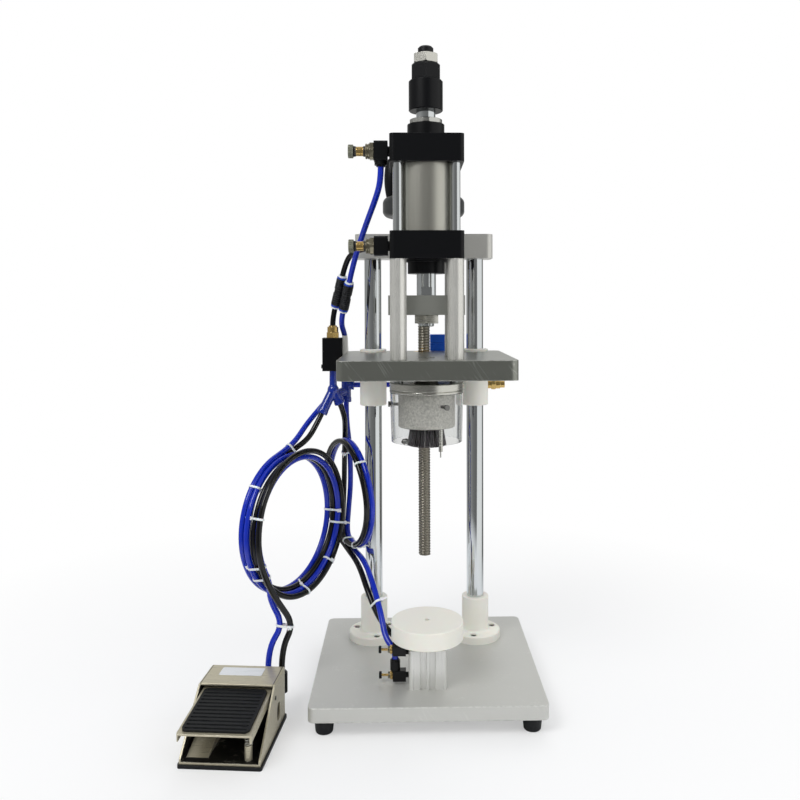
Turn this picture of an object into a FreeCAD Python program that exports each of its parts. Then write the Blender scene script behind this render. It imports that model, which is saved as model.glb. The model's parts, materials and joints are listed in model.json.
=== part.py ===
import FreeCAD, Part
import math
import os

# Pneumatic capping machine: a lift table, a height-set head with a slit closing collet, and a foot valve.
# Millimetres. +Z is up, +X is right and -Y is the operator's side.
# The origin is the centre of the bottle support disc's top face, on the capping axis.

V = FreeCAD.Vector
X_AXIS = V(1, 0, 0)
Y_AXIS = V(0, 1, 0)
Z_AXIS = V(0, 0, 1)

# Clearances
FIT = 0.05            # radial, every shaft in its bore
SOFT_GAP = 0.3        # between bodies that pass one another
CHAMFER = 1.0

# Base plate, feet and columns
SEAT_HEIGHT = 81.0    # support disc's top above the base plate
BASE_W = 297.0
BASE_D = 283.0
BASE_T = 18.0
BASE_FRONT = -68.0
BASE_CORNER = 8.5
RUBBER_H = 20.0
RUBBER_TOP_R = 13.0
RUBBER_FOOT_R = 11.0
RUBBER_INSET = 19.0
COLUMN_R = 12.5
COLUMN_PITCH = 150.0
SOCKET_R = 19.5
SOCKET_H = 61.0
SOCKET_FLANGE_R = 36.6
SOCKET_FLANGE_T = 11.0
SOCKET_SCREW_CIRCLE = 27.0
SOCKET_SCREW_ANGLES = (20.0, 140.0, 260.0)
COLUMN_SCREW_R = 5.0

# Top beam, lead screw and handwheel
BEAM_HEIGHT = 559.0   # underside above the base plate
BEAM_L = 200.0
BEAM_D = 50.0
BEAM_T = 35.0
BEAM_CORNER = 10.0
BUSHING_WALL = 5.0
BUSHING_FLANGE_R = 18.0
BUSHING_FLANGE_T = 3.0
SCREW_R = 9.0
SCREW_JOURNAL_R = 8.0
SCREW_LOW_END = 122.0  # above the base plate
COLLAR_R = 17.0
COLLAR_T = 12.0
WHEEL_R = 60.0
WHEEL_T = 29.0
WHEEL_HUB_R = 17.0
WHEEL_HUB_H = 23.0
WHEEL_RIM_W = 17.0
WHEEL_ROUND = 9.0
WHEEL_WEB_T = 12.0
HANDLE_ORBIT = 46.6
HANDLE_L = 57.0
HANDLE_R = 11.0
HANDLE_NECK_R = 8.0
HANDLE_PIN_R = 4.0

# Sliding head plate
HEAD_HEIGHT = 398.0   # underside above the base plate
PLATE_W = 225.0
PLATE_D = 225.0
PLATE_T = 25.0
PLATE_FRONT = -60.0
COLUMN_SETBACK = 20.0   # from the head plate's back edge to the columns' axes
COLUMN_Y = PLATE_FRONT + PLATE_D - COLUMN_SETBACK
PLATE_CORNER = 10.0
BUSH_R = 19.5
BUSH_ABOVE = 4.0
BUSH_BELOW = 53.5
NUT_R = 15.0
NUT_FLANGE_R = 22.0
NUT_FLANGE_T = 6.0
STANDOFF_R = 10.5
STANDOFF_L = 126.0
PLATE_SCREW_R = 4.0
PLATE_SCREW_HEAD_R = 8.0
PLATE_SCREW_DEPTH = 20.0

# Main cylinder
CAP_W = 93.0
CAP_T = 34.5
CAP_CORNER = 6.0
TUBE_L = 85.5
TUBE_R = 43.0
BORE_R = 40.0
TIE_PITCH = 72.0
TIE_R = 6.0
TIE_NUT_R = 8.0
TIE_NUT_H = 8.0
BOSS_R = 24.0
LOW_BOSS_L = 17.5
HIGH_BOSS_L = 19.2
BOSS_STEP_R = 26.0
BOSS_STEP_T = 2.5
GLAND_NUT_R = 22.0
GLAND_NUT_T = 6.4
PORT_R = 6.5
PORT_DEPTH = 10.0
PORT_Y = -15.0

# Ram: piston rod, stroke adjuster and crossbar
ROD_R = 12.5
STUD_R = 10.0
PISTON_T = 28.0
PISTON_ABOVE = 50.0   # piston's underside above the lower cap
STROKE = 11.4
ADJUSTER_R = 22.0
ADJUSTER_L = 39.5
ADJUSTER_HEX_AF = 36.0
ADJUSTER_HEX_L = 21.0
STUD_NUT_AF = 30.0
TOP_NUT_T = 12.0
LOW_NUT_T = 11.0
STUD_TIP = 10.0
BAR_L = 98.0
BAR_D = 40.0
BAR_T = 25.0
BAR_ABOVE = 55.5      # crossbar's underside above the head plate
ROD_FLAT_AF = 21.0
ROD_FLAT_L = 10.5
PIN_R = 6.0
PIN_PITCH = 72.0
PIN_IN_BAR = 12.0
PIN_IN_RING = 8.0

# Capping head
RING_R = 48.0
RING_T = 13.5
RING_DROP = 6.0       # ring's top below the head plate
BELL_R = 36.75
BELL_H = 44.2
BELL_BORE_R = 24.0
BELL_ROOF_T = 6.5
BELL_MOUTH_R = 26.5
BELL_MOUTH_H = 8.0
COLLET_R = 22.5
COLLET_LIP_R = 25.6
COLLET_H = 48.0
COLLET_DROP = 40.0    # collet's top below the head plate
COLLET_FLARE_H = 18.0
COLLET_BORE_R = 17.0
COLLET_THROAT_R = 15.5
COLLET_THROAT_H = 5.0
COLLET_ROOF_T = 6.0
SLITS = 24
SLIT_W = 1.3
SLIT_H = 36.0
STEM_R = 15.0
STEM_SPIGOT_R = 12.0
STEM_NOSE_R = 8.0
GUARD_H = 63.0
GUARD_WALL = 2.2
GUARD_TAPER = 1.8
GUARD_SCREW_R = 2.0
GUARD_SCREW_DROP = 15.5
GUARD_SCREW_ANGLES = (180.0, 300.0, 60.0)
CATCH_DROP = 59.0
CATCH_ANGLE = 228.0
GAUGE_PIN_R = 2.5
GAUGE_PIN_L = 29.0
GAUGE_TIP_R = 0.8
GAUGE_TIP_L = 7.5
GAUGE_ORBIT = 30.0
GAUGE_ANGLE = 304.5

# Lift cylinder and support disc
LIFT_W = 49.0
LIFT_H = 50.0
LIFT_CORNER = 5.0
LIFT_BORE_R = 16.0
LIFT_END_T = 6.0
LIFT_PISTON_T = 12.0
LIFT_ROD_R = 8.0
LIFT_SPIGOT_R = 5.0
LIFT_SPIGOT_L = 12.0
GROOVE_W = 8.5
GROOVE_DEPTH = 3.0
GROOVE_PITCH = 11.3
DISC_R = 47.0
DISC_T = 23.0
DISC_ROUND = 1.5
PILOT_R = 3.2
PILOT_DEPTH = 8.0
LIFT_BOLT_PITCH = 38.0
LIFT_BOLT_R = 2.5

# Fasteners
COLUMN_BOLT_BITE = 25.0
FLANGE_SCREW_R = 2.5
FLANGE_SCREW_BITE = 12.0
FLANGE_SCREW_SUNK = 1.5
BEAM_GRUB_R = 3.0
LIFT_BOLT_BITE = 12.0
RUBBER_STUD_R = 3.0
RUBBER_STUD_L = 10.0
STANDOFF_STUD_L = 9.0
TIE_BITE = 20.0
MANIFOLD_SCREW_R = 3.0
MANIFOLD_SCREW_BITE = 10.0

# Flow valves on the main cylinder
VALVE_BODY_L = 17.5
VALVE_BODY_D = 20.0
VALVE_BODY_H = 25.0
VALVE_STUB_L = 2.5
VALVE_COLLAR_R = 8.0
VALVE_COLLAR_L = 5.0
VALVE_HEX_AF = 18.0
VALVE_HEX_L = 5.5
VALVE_NECK_R = 8.0
VALVE_NECK_L = 5.5
VALVE_SHANK_R = 5.0
VALVE_SHANK_L = 13.0
VALVE_RIB_R = 6.5
VALVE_RIB_L = 2.0
VALVE_KNOB_R = 8.0
VALVE_KNOB_L = 6.6
NEEDLE_R = 3.0
NEEDLE_IN = 9.0

# Flow valves on the lift cylinder: heights are above the base plate
LIFT_VALVE_W = 14.0
LIFT_VALVE_L = 17.0
LIFT_VALVE_GAP = 3.5
LIFT_PORT_R = 3.5
LIFT_PORT_DEPTH = 4.0
LIFT_COLLAR_R = 6.5
LIFT_NEEDLE_R = 1.6
LIFT_NEEDLE_IN = 7.0
RAISE_VALVE = dict(y=-15.0, height=49.0, port=44.5, port_y=-11.5, outlet_x=-33.0, reach=9.0)
LOWER_VALVE = dict(y=-3.0, height=10.5, port=10.5, port_y=-3.0, outlet_x=-42.0, reach=21.5)

# Air manifold, valve block and their fittings
MANIFOLD_X = 10.0
MANIFOLD_W = 36.0
MANIFOLD_D = 25.0
MANIFOLD_LOW = 36.0      # hangs this far below the head plate
MANIFOLD_HIGH = 24.0     # stands this far above the head plate
AIR_PORT_UP = 9.0        # ports above the manifold's underside
AIR_STUB_L = 8.0
INLET_PIPE_L = 57.0
INLET_COLLAR_R = 6.8
INLET_R = 5.5
BRACKET_T = 6.5
BRACKET_Y = (128.0, 160.0)
BRACKET_HIGH = 24.0
BRACKET_CUT = 20.0
BLOCK_W = 29.0
BLOCK_Y = (124.0, 150.0)
BLOCK_LOW = 2.0
BLOCK_HIGH = 21.0
BLOCK_FITTING_L = 18.0

# Hoses
HOSE_R = 4.0
COLLAR_GRIP = 2.0     # release ring's length on every push-in fitting

# Foot valve, set down at the left front and turned a little
PEDAL_PLACE = (-241.0, -127.5)
PEDAL_TURN = -5.0
CASE_W = 95.0
CASE_L = 119.0
CASE_H = 66.0
CASE_WALL = 2.5
CASE_ROOF_L = 50.5
CASE_PAD_T = 4.0
CASE_PAD_EDGE = 2.0
CASE_FLOOR_T = 3.0
CASE_ROUND = 3.0
PEDAL_W = 86.0
PEDAL_FRONT = -20.0
PIVOT_Y = CASE_L - 49.0
PEDAL_BACK = PIVOT_Y + 6.0
PEDAL_FRONT_H = 50.0
PEDAL_BACK_H = 58.5
PEDAL_T = 2.0
PEDAL_SKIRT = 9.0
PEDAL_LUG = 17.0
PEDAL_CORNER = 2.5
PIVOT_H = 49.0
PIVOT_R = 2.5
TREAD_T = 3.0
TREAD_EDGE = 4.0
TREAD_CORNER = 6.0
TREAD_RIBS = 12
TREAD_RIB_H = 1.2
RAMP_FRONT = 8.0      # the sloped stop under the pedal
RAMP_GAP = 10.0
RAMP_H = 16.0
RAMP_XS = (-42.0, -16.0)
POST_PLACE = (31.0, 10.0)
POST_R = 4.5
POST_H = 20.0
SPRING_R = 4.9
SPRING_WIRE_R = 0.6
SPRING_TURNS = 7
FOOT_BLOCK = (-24.0, 44.5, CASE_L - 39.0, CASE_L - 5.0, 40.0)   # x and y edges, and height
FOOT_PORT_H = 32.0
FOOT_ELBOW_TOP = 52.0
FOOT_ELBOW_BACK = 17.5
FOOT_PORT_XS = (21.0, 39.0)
FOOT_PORT_R = 5.0

# Levels that follow from the sizes above
BASE_TOP = -SEAT_HEIGHT
FLOOR = BASE_TOP - BASE_T - RUBBER_H
BEAM_BOTTOM = BASE_TOP + BEAM_HEIGHT
BEAM_TOP = BEAM_BOTTOM + BEAM_T
PLATE_BOTTOM = BASE_TOP + HEAD_HEIGHT
PLATE_TOP = PLATE_BOTTOM + PLATE_T
LOW_CAP_BOTTOM = PLATE_TOP + STANDOFF_L
TUBE_BOTTOM = LOW_CAP_BOTTOM + CAP_T
TUBE_TOP = TUBE_BOTTOM + TUBE_L
HIGH_CAP_TOP = TUBE_TOP + CAP_T
GLAND_NUT_TOP = HIGH_CAP_TOP + HIGH_BOSS_L + GLAND_NUT_T
ADJUSTER_BOTTOM = GLAND_NUT_TOP + STROKE
ADJUSTER_TOP = ADJUSTER_BOTTOM + ADJUSTER_L + ADJUSTER_HEX_L
BAR_BOTTOM = PLATE_TOP + BAR_ABOVE
BAR_TOP = BAR_BOTTOM + BAR_T
RING_TOP = PLATE_BOTTOM - RING_DROP
RING_BOTTOM = RING_TOP - RING_T
COLLET_TOP = PLATE_BOTTOM - COLLET_DROP
COLLET_BOTTOM = COLLET_TOP - COLLET_H
DISC_BOTTOM = -DISC_T
AIR_LEVEL = PLATE_BOTTOM - MANIFOLD_LOW + AIR_PORT_UP
AIR_Y = PLATE_FRONT + PLATE_D + MANIFOLD_D / 2
BLOCK_X = -PLATE_W / 2 - BRACKET_T - BLOCK_W / 2
BLOCK_MID_Y = (BLOCK_Y[0] + BLOCK_Y[1]) / 2
BLOCK_TOP = PLATE_TOP + BLOCK_HIGH
VALVE_X = -CAP_W / 2 - VALVE_STUB_L - VALVE_BODY_L / 2
HIGH_VALVE_Z = TUBE_TOP + CAP_T / 2
LOW_VALVE_Z = LOW_CAP_BOTTOM + CAP_T / 2

# Places of the hose fittings and of the two coils
UNION_R = 7.4
Y_BODY_R = 7.5
UNION_BLUE = ((-106.6, 104.0, 443.6), (-117.5, 124.0, 401.0))
UNION_BLACK_TOP = (-117.0, 114.0, 453.0)
UNION_BLACK_AIM = (BLOCK_X, BLOCK_MID_Y, 392.0)
UNION_BLACK_L = 51.0
FORK = (BLOCK_X, BLOCK_MID_Y, 287.0)
FORK_LEFT = (-149.5, 128.0, 253.0)
FORK_RIGHT = (-124.0, 141.0, 266.0)
TEE_X = -117.5
TEE_TOP = 304.0
TEE_LOW = 264.0
TEE_ARM_L = 12.0
TEE_SIDE_START = (TEE_X, AIR_Y, 282.0)
TEE_SIDE_AIM = (-142.0, 153.0, 272.0)
TEE_SIDE_L = 15.0
FOOT_COIL = dict(centre=(-182.0, 75.0, 108.0), turn=58.0, mid_r=99.0, radial=21.0, axial=24.0)
LIFT_COIL = dict(centre=(-109.0, COLUMN_Y + 6.0, 137.0), turn=-65.4, mid_r=77.5, radial=13.0, axial=17.0)


def save(name, shape):
    """Write one node's STEP file."""
    if not shape.isValid():
        print("not valid:", name)
    shape.exportStep("parts/" + name + ".step")


def rod(radius, start, end):
    """Round bar between two points."""
    a = V(*start)
    along = V(*end) - a
    return Part.makeCylinder(radius, along.Length, a, along)


def upright(radius, x, y, z0, z1):
    """Round bar along Z."""
    return Part.makeCylinder(radius, z1 - z0, V(x, y, z0), Z_AXIS)


def block(x0, x1, y0, y1, z0, z1):
    """Box between six planes."""
    return Part.makeBox(x1 - x0, y1 - y0, z1 - z0, V(x0, y0, z0))


def is_upright(edge):
    a, b = edge.Vertexes[0].Point, edge.Vertexes[-1].Point
    return abs(a.x - b.x) < 1e-6 and abs(a.y - b.y) < 1e-6 and abs(a.z - b.z) > 1e-6


def slab(x0, x1, y0, y1, z0, z1, corner):
    """Box with its four upright edges rounded."""
    solid = block(x0, x1, y0, y1, z0, z1)
    return solid.makeFillet(corner, [e for e in solid.Edges if is_upright(e)])


def outline(points):
    """Closed wire in the XZ plane. A point is (x, z), or (x, z, xm, zm) at the end of an arc through (xm, zm)."""
    here = V(points[0][0], 0, points[0][1])
    first = here
    edges = []
    for p in points[1:]:
        there = V(p[0], 0, p[1])
        if len(p) == 4:
            edges.append(Part.Arc(here, V(p[2], 0, p[3]), there).toShape())
        else:
            edges.append(Part.LineSegment(here, there).toShape())
        here = there
    edges.append(Part.LineSegment(here, first).toShape())
    return Part.Wire(edges)


def lathe(points, x=0.0, y=0.0):
    """Solid turned about an upright axis at x, y from its half section."""
    solid = Part.Face(outline(points)).revolve(V(0, 0, 0), Z_AXIS, 360)
    return solid.translated(V(x, y, 0))


def hexagon(across_flats, height, place, axis=Z_AXIS):
    """Hexagonal prism that starts at place and runs along axis."""
    r = across_flats / math.sqrt(3)
    corners = [V(r * math.cos(math.radians(60 * i + 30)), r * math.sin(math.radians(60 * i + 30)), 0)
               for i in range(7)]
    prism = Part.Face(Part.makePolygon(corners)).extrude(V(0, 0, height))
    prism.Placement = FreeCAD.Placement(V(*place), FreeCAD.Rotation(Z_AXIS, axis))
    return prism


def around(radius, degrees, x=0.0, y=0.0):
    """Point on a circle about x, y."""
    return x + radius * math.cos(math.radians(degrees)), y + radius * math.sin(math.radians(degrees))


def cap_screw(radius, x, y, head_top, length):
    """Socket head screw that points down, with its socket."""
    head_h = 2 * radius
    head = upright(1.7 * radius, x, y, head_top - head_h, head_top)
    shank = upright(radius, x, y, head_top - length, head_top - head_h)
    socket = hexagon(1.6 * radius, radius, (x, y, head_top - radius))
    return head.fuse(shank).cut(socket)


def side_xs():
    return (-COLUMN_PITCH / 2, COLUMN_PITCH / 2)


def corners(pitch):
    h = pitch / 2
    return ((-h, -h), (h, -h), (h, h), (-h, h))


# Frame

def rubber_places():
    x = BASE_W / 2 - RUBBER_INSET
    return [(sx * x, y) for sx in (-1, 1)
            for y in (BASE_FRONT + RUBBER_INSET, BASE_FRONT + BASE_D - RUBBER_INSET)]


def socket_screw_places():
    places = []
    for x in side_xs():
        for a in SOCKET_SCREW_ANGLES:
            px, py = around(SOCKET_SCREW_CIRCLE, a if x > 0 else 180 - a, x, COLUMN_Y)
            places.append((px, py))
    return places


def base_plate():
    plate = slab(-BASE_W / 2, BASE_W / 2, BASE_FRONT, BASE_FRONT + BASE_D,
                 BASE_TOP - BASE_T, BASE_TOP, BASE_CORNER)
    rim = [e for e in plate.Edges if abs(e.CenterOfMass.z - BASE_TOP) < 1e-6]
    plate = plate.makeChamfer(CHAMFER / 2, rim)
    bottom = BASE_TOP - BASE_T
    for x in side_xs():
        plate = plate.cut(upright(COLUMN_SCREW_R + FIT, x, COLUMN_Y, bottom, BASE_TOP))
        plate = plate.cut(upright(1.7 * COLUMN_SCREW_R + FIT, x, COLUMN_Y, bottom, bottom + 2 * COLUMN_SCREW_R))
    for x, y in socket_screw_places():
        plate = plate.cut(upright(FLANGE_SCREW_R + FIT, x, y, BASE_TOP - FLANGE_SCREW_BITE, BASE_TOP))
    for x, y in corners(LIFT_BOLT_PITCH):
        plate = plate.cut(upright(LIFT_BOLT_R + FIT, x, y, BASE_TOP - LIFT_BOLT_BITE, BASE_TOP))
    for x, y in rubber_places():
        plate = plate.cut(upright(RUBBER_STUD_R + FIT, x, y, bottom, bottom + RUBBER_STUD_L))
    return plate


def rubber_feet():
    feet = []
    for x, y in rubber_places():
        top = BASE_TOP - BASE_T
        edge = 2.5
        profile = [(0, FLOOR), (RUBBER_FOOT_R - edge, FLOOR),
                   (RUBBER_FOOT_R, FLOOR + edge, RUBBER_FOOT_R - 0.3 * edge, FLOOR + 0.3 * edge),
                   (RUBBER_TOP_R, top), (RUBBER_STUD_R, top),
                   (RUBBER_STUD_R, top + RUBBER_STUD_L), (0, top + RUBBER_STUD_L)]
        feet.append(lathe(profile, x, y))
    return Part.makeCompound(feet)


def columns():
    hole = COLUMN_BOLT_BITE + 2
    profile = [(COLUMN_SCREW_R + FIT, BASE_TOP), (COLUMN_R, BASE_TOP), (COLUMN_R, BEAM_TOP - CHAMFER),
               (COLUMN_R - CHAMFER, BEAM_TOP), (0, BEAM_TOP), (0, BASE_TOP + hole),
               (COLUMN_SCREW_R + FIT, BASE_TOP + hole)]
    return Part.makeCompound([lathe(profile, x, COLUMN_Y) for x in side_xs()])


def column_screws():
    screws = []
    bottom = BASE_TOP - BASE_T
    for x in side_xs():
        head = upright(1.7 * COLUMN_SCREW_R, x, COLUMN_Y, bottom, bottom + 2 * COLUMN_SCREW_R)
        shank = upright(COLUMN_SCREW_R, x, COLUMN_Y, bottom, BASE_TOP + COLUMN_BOLT_BITE)
        socket = hexagon(1.6 * COLUMN_SCREW_R, COLUMN_SCREW_R, (x, COLUMN_Y, bottom))
        screws.append(head.fuse(shank).cut(socket))
    return screws


def column_sockets():
    sockets = []
    top = BASE_TOP + SOCKET_H
    flange = BASE_TOP + SOCKET_FLANGE_T
    blend = 3.0
    for x in side_xs():
        profile = [(COLUMN_R + FIT, BASE_TOP), (SOCKET_FLANGE_R, BASE_TOP), (SOCKET_FLANGE_R, flange - CHAMFER),
                   (SOCKET_FLANGE_R - CHAMFER, flange), (SOCKET_R + blend, flange),
                   (SOCKET_R, flange + blend, SOCKET_R + 0.3 * blend, flange + 0.3 * blend),
                   (SOCKET_R, top - CHAMFER), (SOCKET_R - CHAMFER, top), (COLUMN_R + FIT, top)]
        socket = lathe(profile, x, COLUMN_Y)
        outward = 1 if x > 0 else -1
        socket = socket.cut(rod(FLANGE_SCREW_R + FIT, (x, COLUMN_Y, BASE_TOP + SOCKET_FLANGE_T / 2),
                                (x + outward * (SOCKET_FLANGE_R + 1), COLUMN_Y, BASE_TOP + SOCKET_FLANGE_T / 2)))
        sockets.append(socket)
    pair = sockets[0].fuse(sockets[1])
    for x, y in socket_screw_places():
        pair = pair.cut(upright(FLANGE_SCREW_R + FIT, x, y, BASE_TOP, flange))
        pair = pair.cut(upright(1.7 * FLANGE_SCREW_R + 0.5, x, y, flange - 2 * FLANGE_SCREW_R - FLANGE_SCREW_SUNK, flange))
    return pair


def socket_screws():
    flange = BASE_TOP + SOCKET_FLANGE_T
    head_top = flange - FLANGE_SCREW_SUNK
    length = head_top - BASE_TOP + FLANGE_SCREW_BITE
    screws = [cap_screw(FLANGE_SCREW_R, x, y, head_top, length) for x, y in socket_screw_places()]
    z = BASE_TOP + SOCKET_FLANGE_T / 2
    for x in side_xs():
        outward = 1 if x > 0 else -1
        grub = rod(FLANGE_SCREW_R, (x + outward * COLUMN_R, COLUMN_Y, z),
                   (x + outward * (SOCKET_FLANGE_R - 1), COLUMN_Y, z))
        screws.append(grub.cut(upright(COLUMN_R + FIT, x, COLUMN_Y, BASE_TOP, flange)))
    return screws


def top_beam():
    y0, y1 = COLUMN_Y - BEAM_D / 2, COLUMN_Y + BEAM_D / 2
    beam = slab(-BEAM_L / 2, BEAM_L / 2, y0, y1, BEAM_BOTTOM, BEAM_TOP, BEAM_CORNER)
    for x in side_xs():
        beam = beam.cut(upright(COLUMN_R + FIT, x, COLUMN_Y, BEAM_BOTTOM, BEAM_TOP))
        mid = (BEAM_BOTTOM + BEAM_TOP) / 2
        beam = beam.cut(rod(BEAM_GRUB_R + FIT, (x, COLUMN_Y, mid), (x, y1, mid)))
    return beam.cut(upright(SCREW_JOURNAL_R + BUSHING_WALL + FIT, 0, COLUMN_Y, BEAM_BOTTOM, BEAM_TOP))


def beam_grub_screws():
    mid = (BEAM_BOTTOM + BEAM_TOP) / 2
    screws = []
    for x in side_xs():
        grub = rod(BEAM_GRUB_R, (x, COLUMN_Y + COLUMN_R - 1, mid), (x, COLUMN_Y + BEAM_D / 2 - 2, mid))
        grub = grub.cut(upright(COLUMN_R + FIT, x, COLUMN_Y, BEAM_BOTTOM, BEAM_TOP))
        screws.append(grub.cut(hexagon(BEAM_GRUB_R, 3, (x, COLUMN_Y + BEAM_D / 2 - 5, mid), Y_AXIS)))
    return screws


def frame_screws():
    return Part.makeCompound(column_screws() + socket_screws() + beam_grub_screws() + lift_screws())


def beam_bushing():
    inner = SCREW_JOURNAL_R + FIT
    outer = SCREW_JOURNAL_R + BUSHING_WALL
    profile = [(inner, BEAM_BOTTOM), (outer, BEAM_BOTTOM), (outer, BEAM_TOP), (BUSHING_FLANGE_R, BEAM_TOP),
               (BUSHING_FLANGE_R, BEAM_TOP + BUSHING_FLANGE_T), (inner, BEAM_TOP + BUSHING_FLANGE_T)]
    return lathe(profile, 0, COLUMN_Y)


# Lead screw and handwheel

def hub_bottom():
    return BEAM_TOP + BUSHING_FLANGE_T + SOFT_GAP


def wheel_bottom():
    return hub_bottom() + WHEEL_HUB_H


def lead_screw():
    low = BASE_TOP + SCREW_LOW_END
    shoulder = BEAM_BOTTOM - COLLAR_T - SOFT_GAP
    top = wheel_bottom() + WHEEL_T
    collar_top = shoulder + COLLAR_T
    profile = [(0, low), (SCREW_R - 2 * CHAMFER, low), (SCREW_R, low + 2 * CHAMFER), (SCREW_R, shoulder),
               (COLLAR_R - CHAMFER, shoulder), (COLLAR_R, shoulder + CHAMFER), (COLLAR_R, collar_top - CHAMFER),
               (COLLAR_R - CHAMFER, collar_top), (SCREW_JOURNAL_R, collar_top), (SCREW_JOURNAL_R, top), (0, top)]
    return lathe(profile, 0, COLUMN_Y)


def handle_place():
    return -HANDLE_ORBIT, COLUMN_Y


def handwheel():
    bore = SCREW_JOURNAL_R + FIT
    bottom = wheel_bottom()
    top = bottom + WHEEL_T
    web = bottom + (WHEEL_T - WHEEL_WEB_T) / 2
    inner = WHEEL_R - WHEEL_RIM_W
    r = WHEEL_ROUND
    k = r * (1 - math.sqrt(0.5))
    profile = [(bore, hub_bottom()), (WHEEL_HUB_R, hub_bottom()), (WHEEL_HUB_R, web), (inner, web),
               (inner, bottom), (WHEEL_R - r, bottom), (WHEEL_R, bottom + r, WHEEL_R - k, bottom + k),
               (WHEEL_R, top - r), (WHEEL_R - r, top, WHEEL_R - k, top - k), (inner, top),
               (inner, web + WHEEL_WEB_T), (WHEEL_HUB_R, web + WHEEL_WEB_T), (WHEEL_HUB_R, top), (bore, top)]
    wheel = lathe(profile, 0, COLUMN_Y)
    x, y = handle_place()
    pin = upright(HANDLE_PIN_R, x, y, top - 1, top + SOFT_GAP + HANDLE_L - HANDLE_PIN_R)
    return wheel.fuse(pin)


def handwheel_handle():
    x, y = handle_place()
    bottom = wheel_bottom() + WHEEL_T + SOFT_GAP
    top = bottom + HANDLE_L
    hole = top - HANDLE_PIN_R + 1
    bore = HANDLE_PIN_R + FIT
    swell = bottom + 0.55 * HANDLE_L
    shoulder = top - HANDLE_NECK_R
    profile = [(bore, bottom), (HANDLE_NECK_R, bottom),
               (HANDLE_NECK_R + 1, shoulder, HANDLE_R, swell),
               (2, top, 0.72 * (HANDLE_NECK_R + 1), top - 0.25 * HANDLE_NECK_R), (0, top), (0, hole), (bore, hole)]
    return lathe(profile, x, y)


# Sliding head plate and what it carries

def head_plate():
    y1 = PLATE_FRONT + PLATE_D
    plate = slab(-PLATE_W / 2, PLATE_W / 2, PLATE_FRONT, y1, PLATE_BOTTOM, PLATE_TOP, PLATE_CORNER)
    for x in side_xs():
        plate = plate.cut(upright(BUSH_R + FIT, x, COLUMN_Y, PLATE_BOTTOM, PLATE_TOP))
    plate = plate.cut(upright(NUT_R + FIT, 0, COLUMN_Y, PLATE_BOTTOM, PLATE_TOP))
    plate = plate.cut(upright(STEM_SPIGOT_R + FIT, 0, 0, PLATE_BOTTOM, PLATE_TOP))
    for x in (-PIN_PITCH / 2, PIN_PITCH / 2):
        plate = plate.cut(upright(PIN_R + FIT, x, 0, PLATE_BOTTOM, PLATE_TOP))
    for x, y in corners(TIE_PITCH):
        plate = plate.cut(upright(PLATE_SCREW_R + FIT, x, y, PLATE_BOTTOM, PLATE_TOP))
        sink = Part.makeCone(PLATE_SCREW_HEAD_R + FIT, PLATE_SCREW_R + FIT, PLATE_SCREW_HEAD_R - PLATE_SCREW_R,
                             V(x, y, PLATE_BOTTOM))
        plate = plate.cut(sink)
    x, z = MANIFOLD_X + MANIFOLD_W / 2, PLATE_BOTTOM + PLATE_T / 2
    return plate.cut(rod(MANIFOLD_SCREW_R + FIT, (x, y1 - MANIFOLD_SCREW_BITE, z), (x, y1, z)))


def plate_screws():
    screws = []
    for x, y in corners(TIE_PITCH):
        sink = PLATE_SCREW_HEAD_R - PLATE_SCREW_R
        head = Part.makeCone(PLATE_SCREW_HEAD_R, PLATE_SCREW_R, sink, V(x, y, PLATE_BOTTOM))
        shank = upright(PLATE_SCREW_R, x, y, PLATE_BOTTOM + sink, PLATE_TOP + PLATE_SCREW_DEPTH)
        socket = hexagon(PLATE_SCREW_R, 2.5, (x, y, PLATE_BOTTOM))
        screws.append(head.fuse(shank).cut(socket))
    screws.append(manifold_screw())
    return Part.makeCompound(screws)


def guide_bushes():
    bottom = PLATE_BOTTOM - BUSH_BELOW
    top = PLATE_TOP + BUSH_ABOVE
    profile = [(COLUMN_R + FIT, bottom), (BUSH_R - CHAMFER, bottom), (BUSH_R, bottom + CHAMFER),
               (BUSH_R, top - CHAMFER), (BUSH_R - CHAMFER, top), (COLUMN_R + FIT, top)]
    return Part.makeCompound([lathe(profile, x, COLUMN_Y) for x in side_xs()])


def lead_nut():
    bottom = PLATE_BOTTOM - NUT_FLANGE_T
    profile = [(SCREW_R + FIT, bottom), (NUT_FLANGE_R - CHAMFER, bottom), (NUT_FLANGE_R, bottom + CHAMFER),
               (NUT_FLANGE_R, PLATE_BOTTOM), (NUT_R, PLATE_BOTTOM), (NUT_R, PLATE_TOP), (SCREW_R + FIT, PLATE_TOP)]
    return lathe(profile, 0, COLUMN_Y)


def standoffs():
    posts = []
    hole = PLATE_SCREW_DEPTH + 2
    bore = PLATE_SCREW_R + FIT
    for x, y in corners(TIE_PITCH):
        profile = [(bore, PLATE_TOP), (STANDOFF_R, PLATE_TOP), (STANDOFF_R, LOW_CAP_BOTTOM),
                   (PLATE_SCREW_R, LOW_CAP_BOTTOM), (PLATE_SCREW_R, LOW_CAP_BOTTOM + STANDOFF_STUD_L),
                   (0, LOW_CAP_BOTTOM + STANDOFF_STUD_L), (0, PLATE_TOP + hole), (bore, PLATE_TOP + hole)]
        posts.append(lathe(profile, x, y))
    return Part.makeCompound(posts)


# Main cylinder

def cap_block(bottom):
    cap = slab(-CAP_W / 2, CAP_W / 2, -CAP_W / 2, CAP_W / 2, bottom, bottom + CAP_T, CAP_CORNER)
    mid = bottom + CAP_T / 2
    return cap.cut(rod(PORT_R + FIT, (-CAP_W / 2, PORT_Y, mid), (-CAP_W / 2 + PORT_DEPTH, PORT_Y, mid)))


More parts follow.
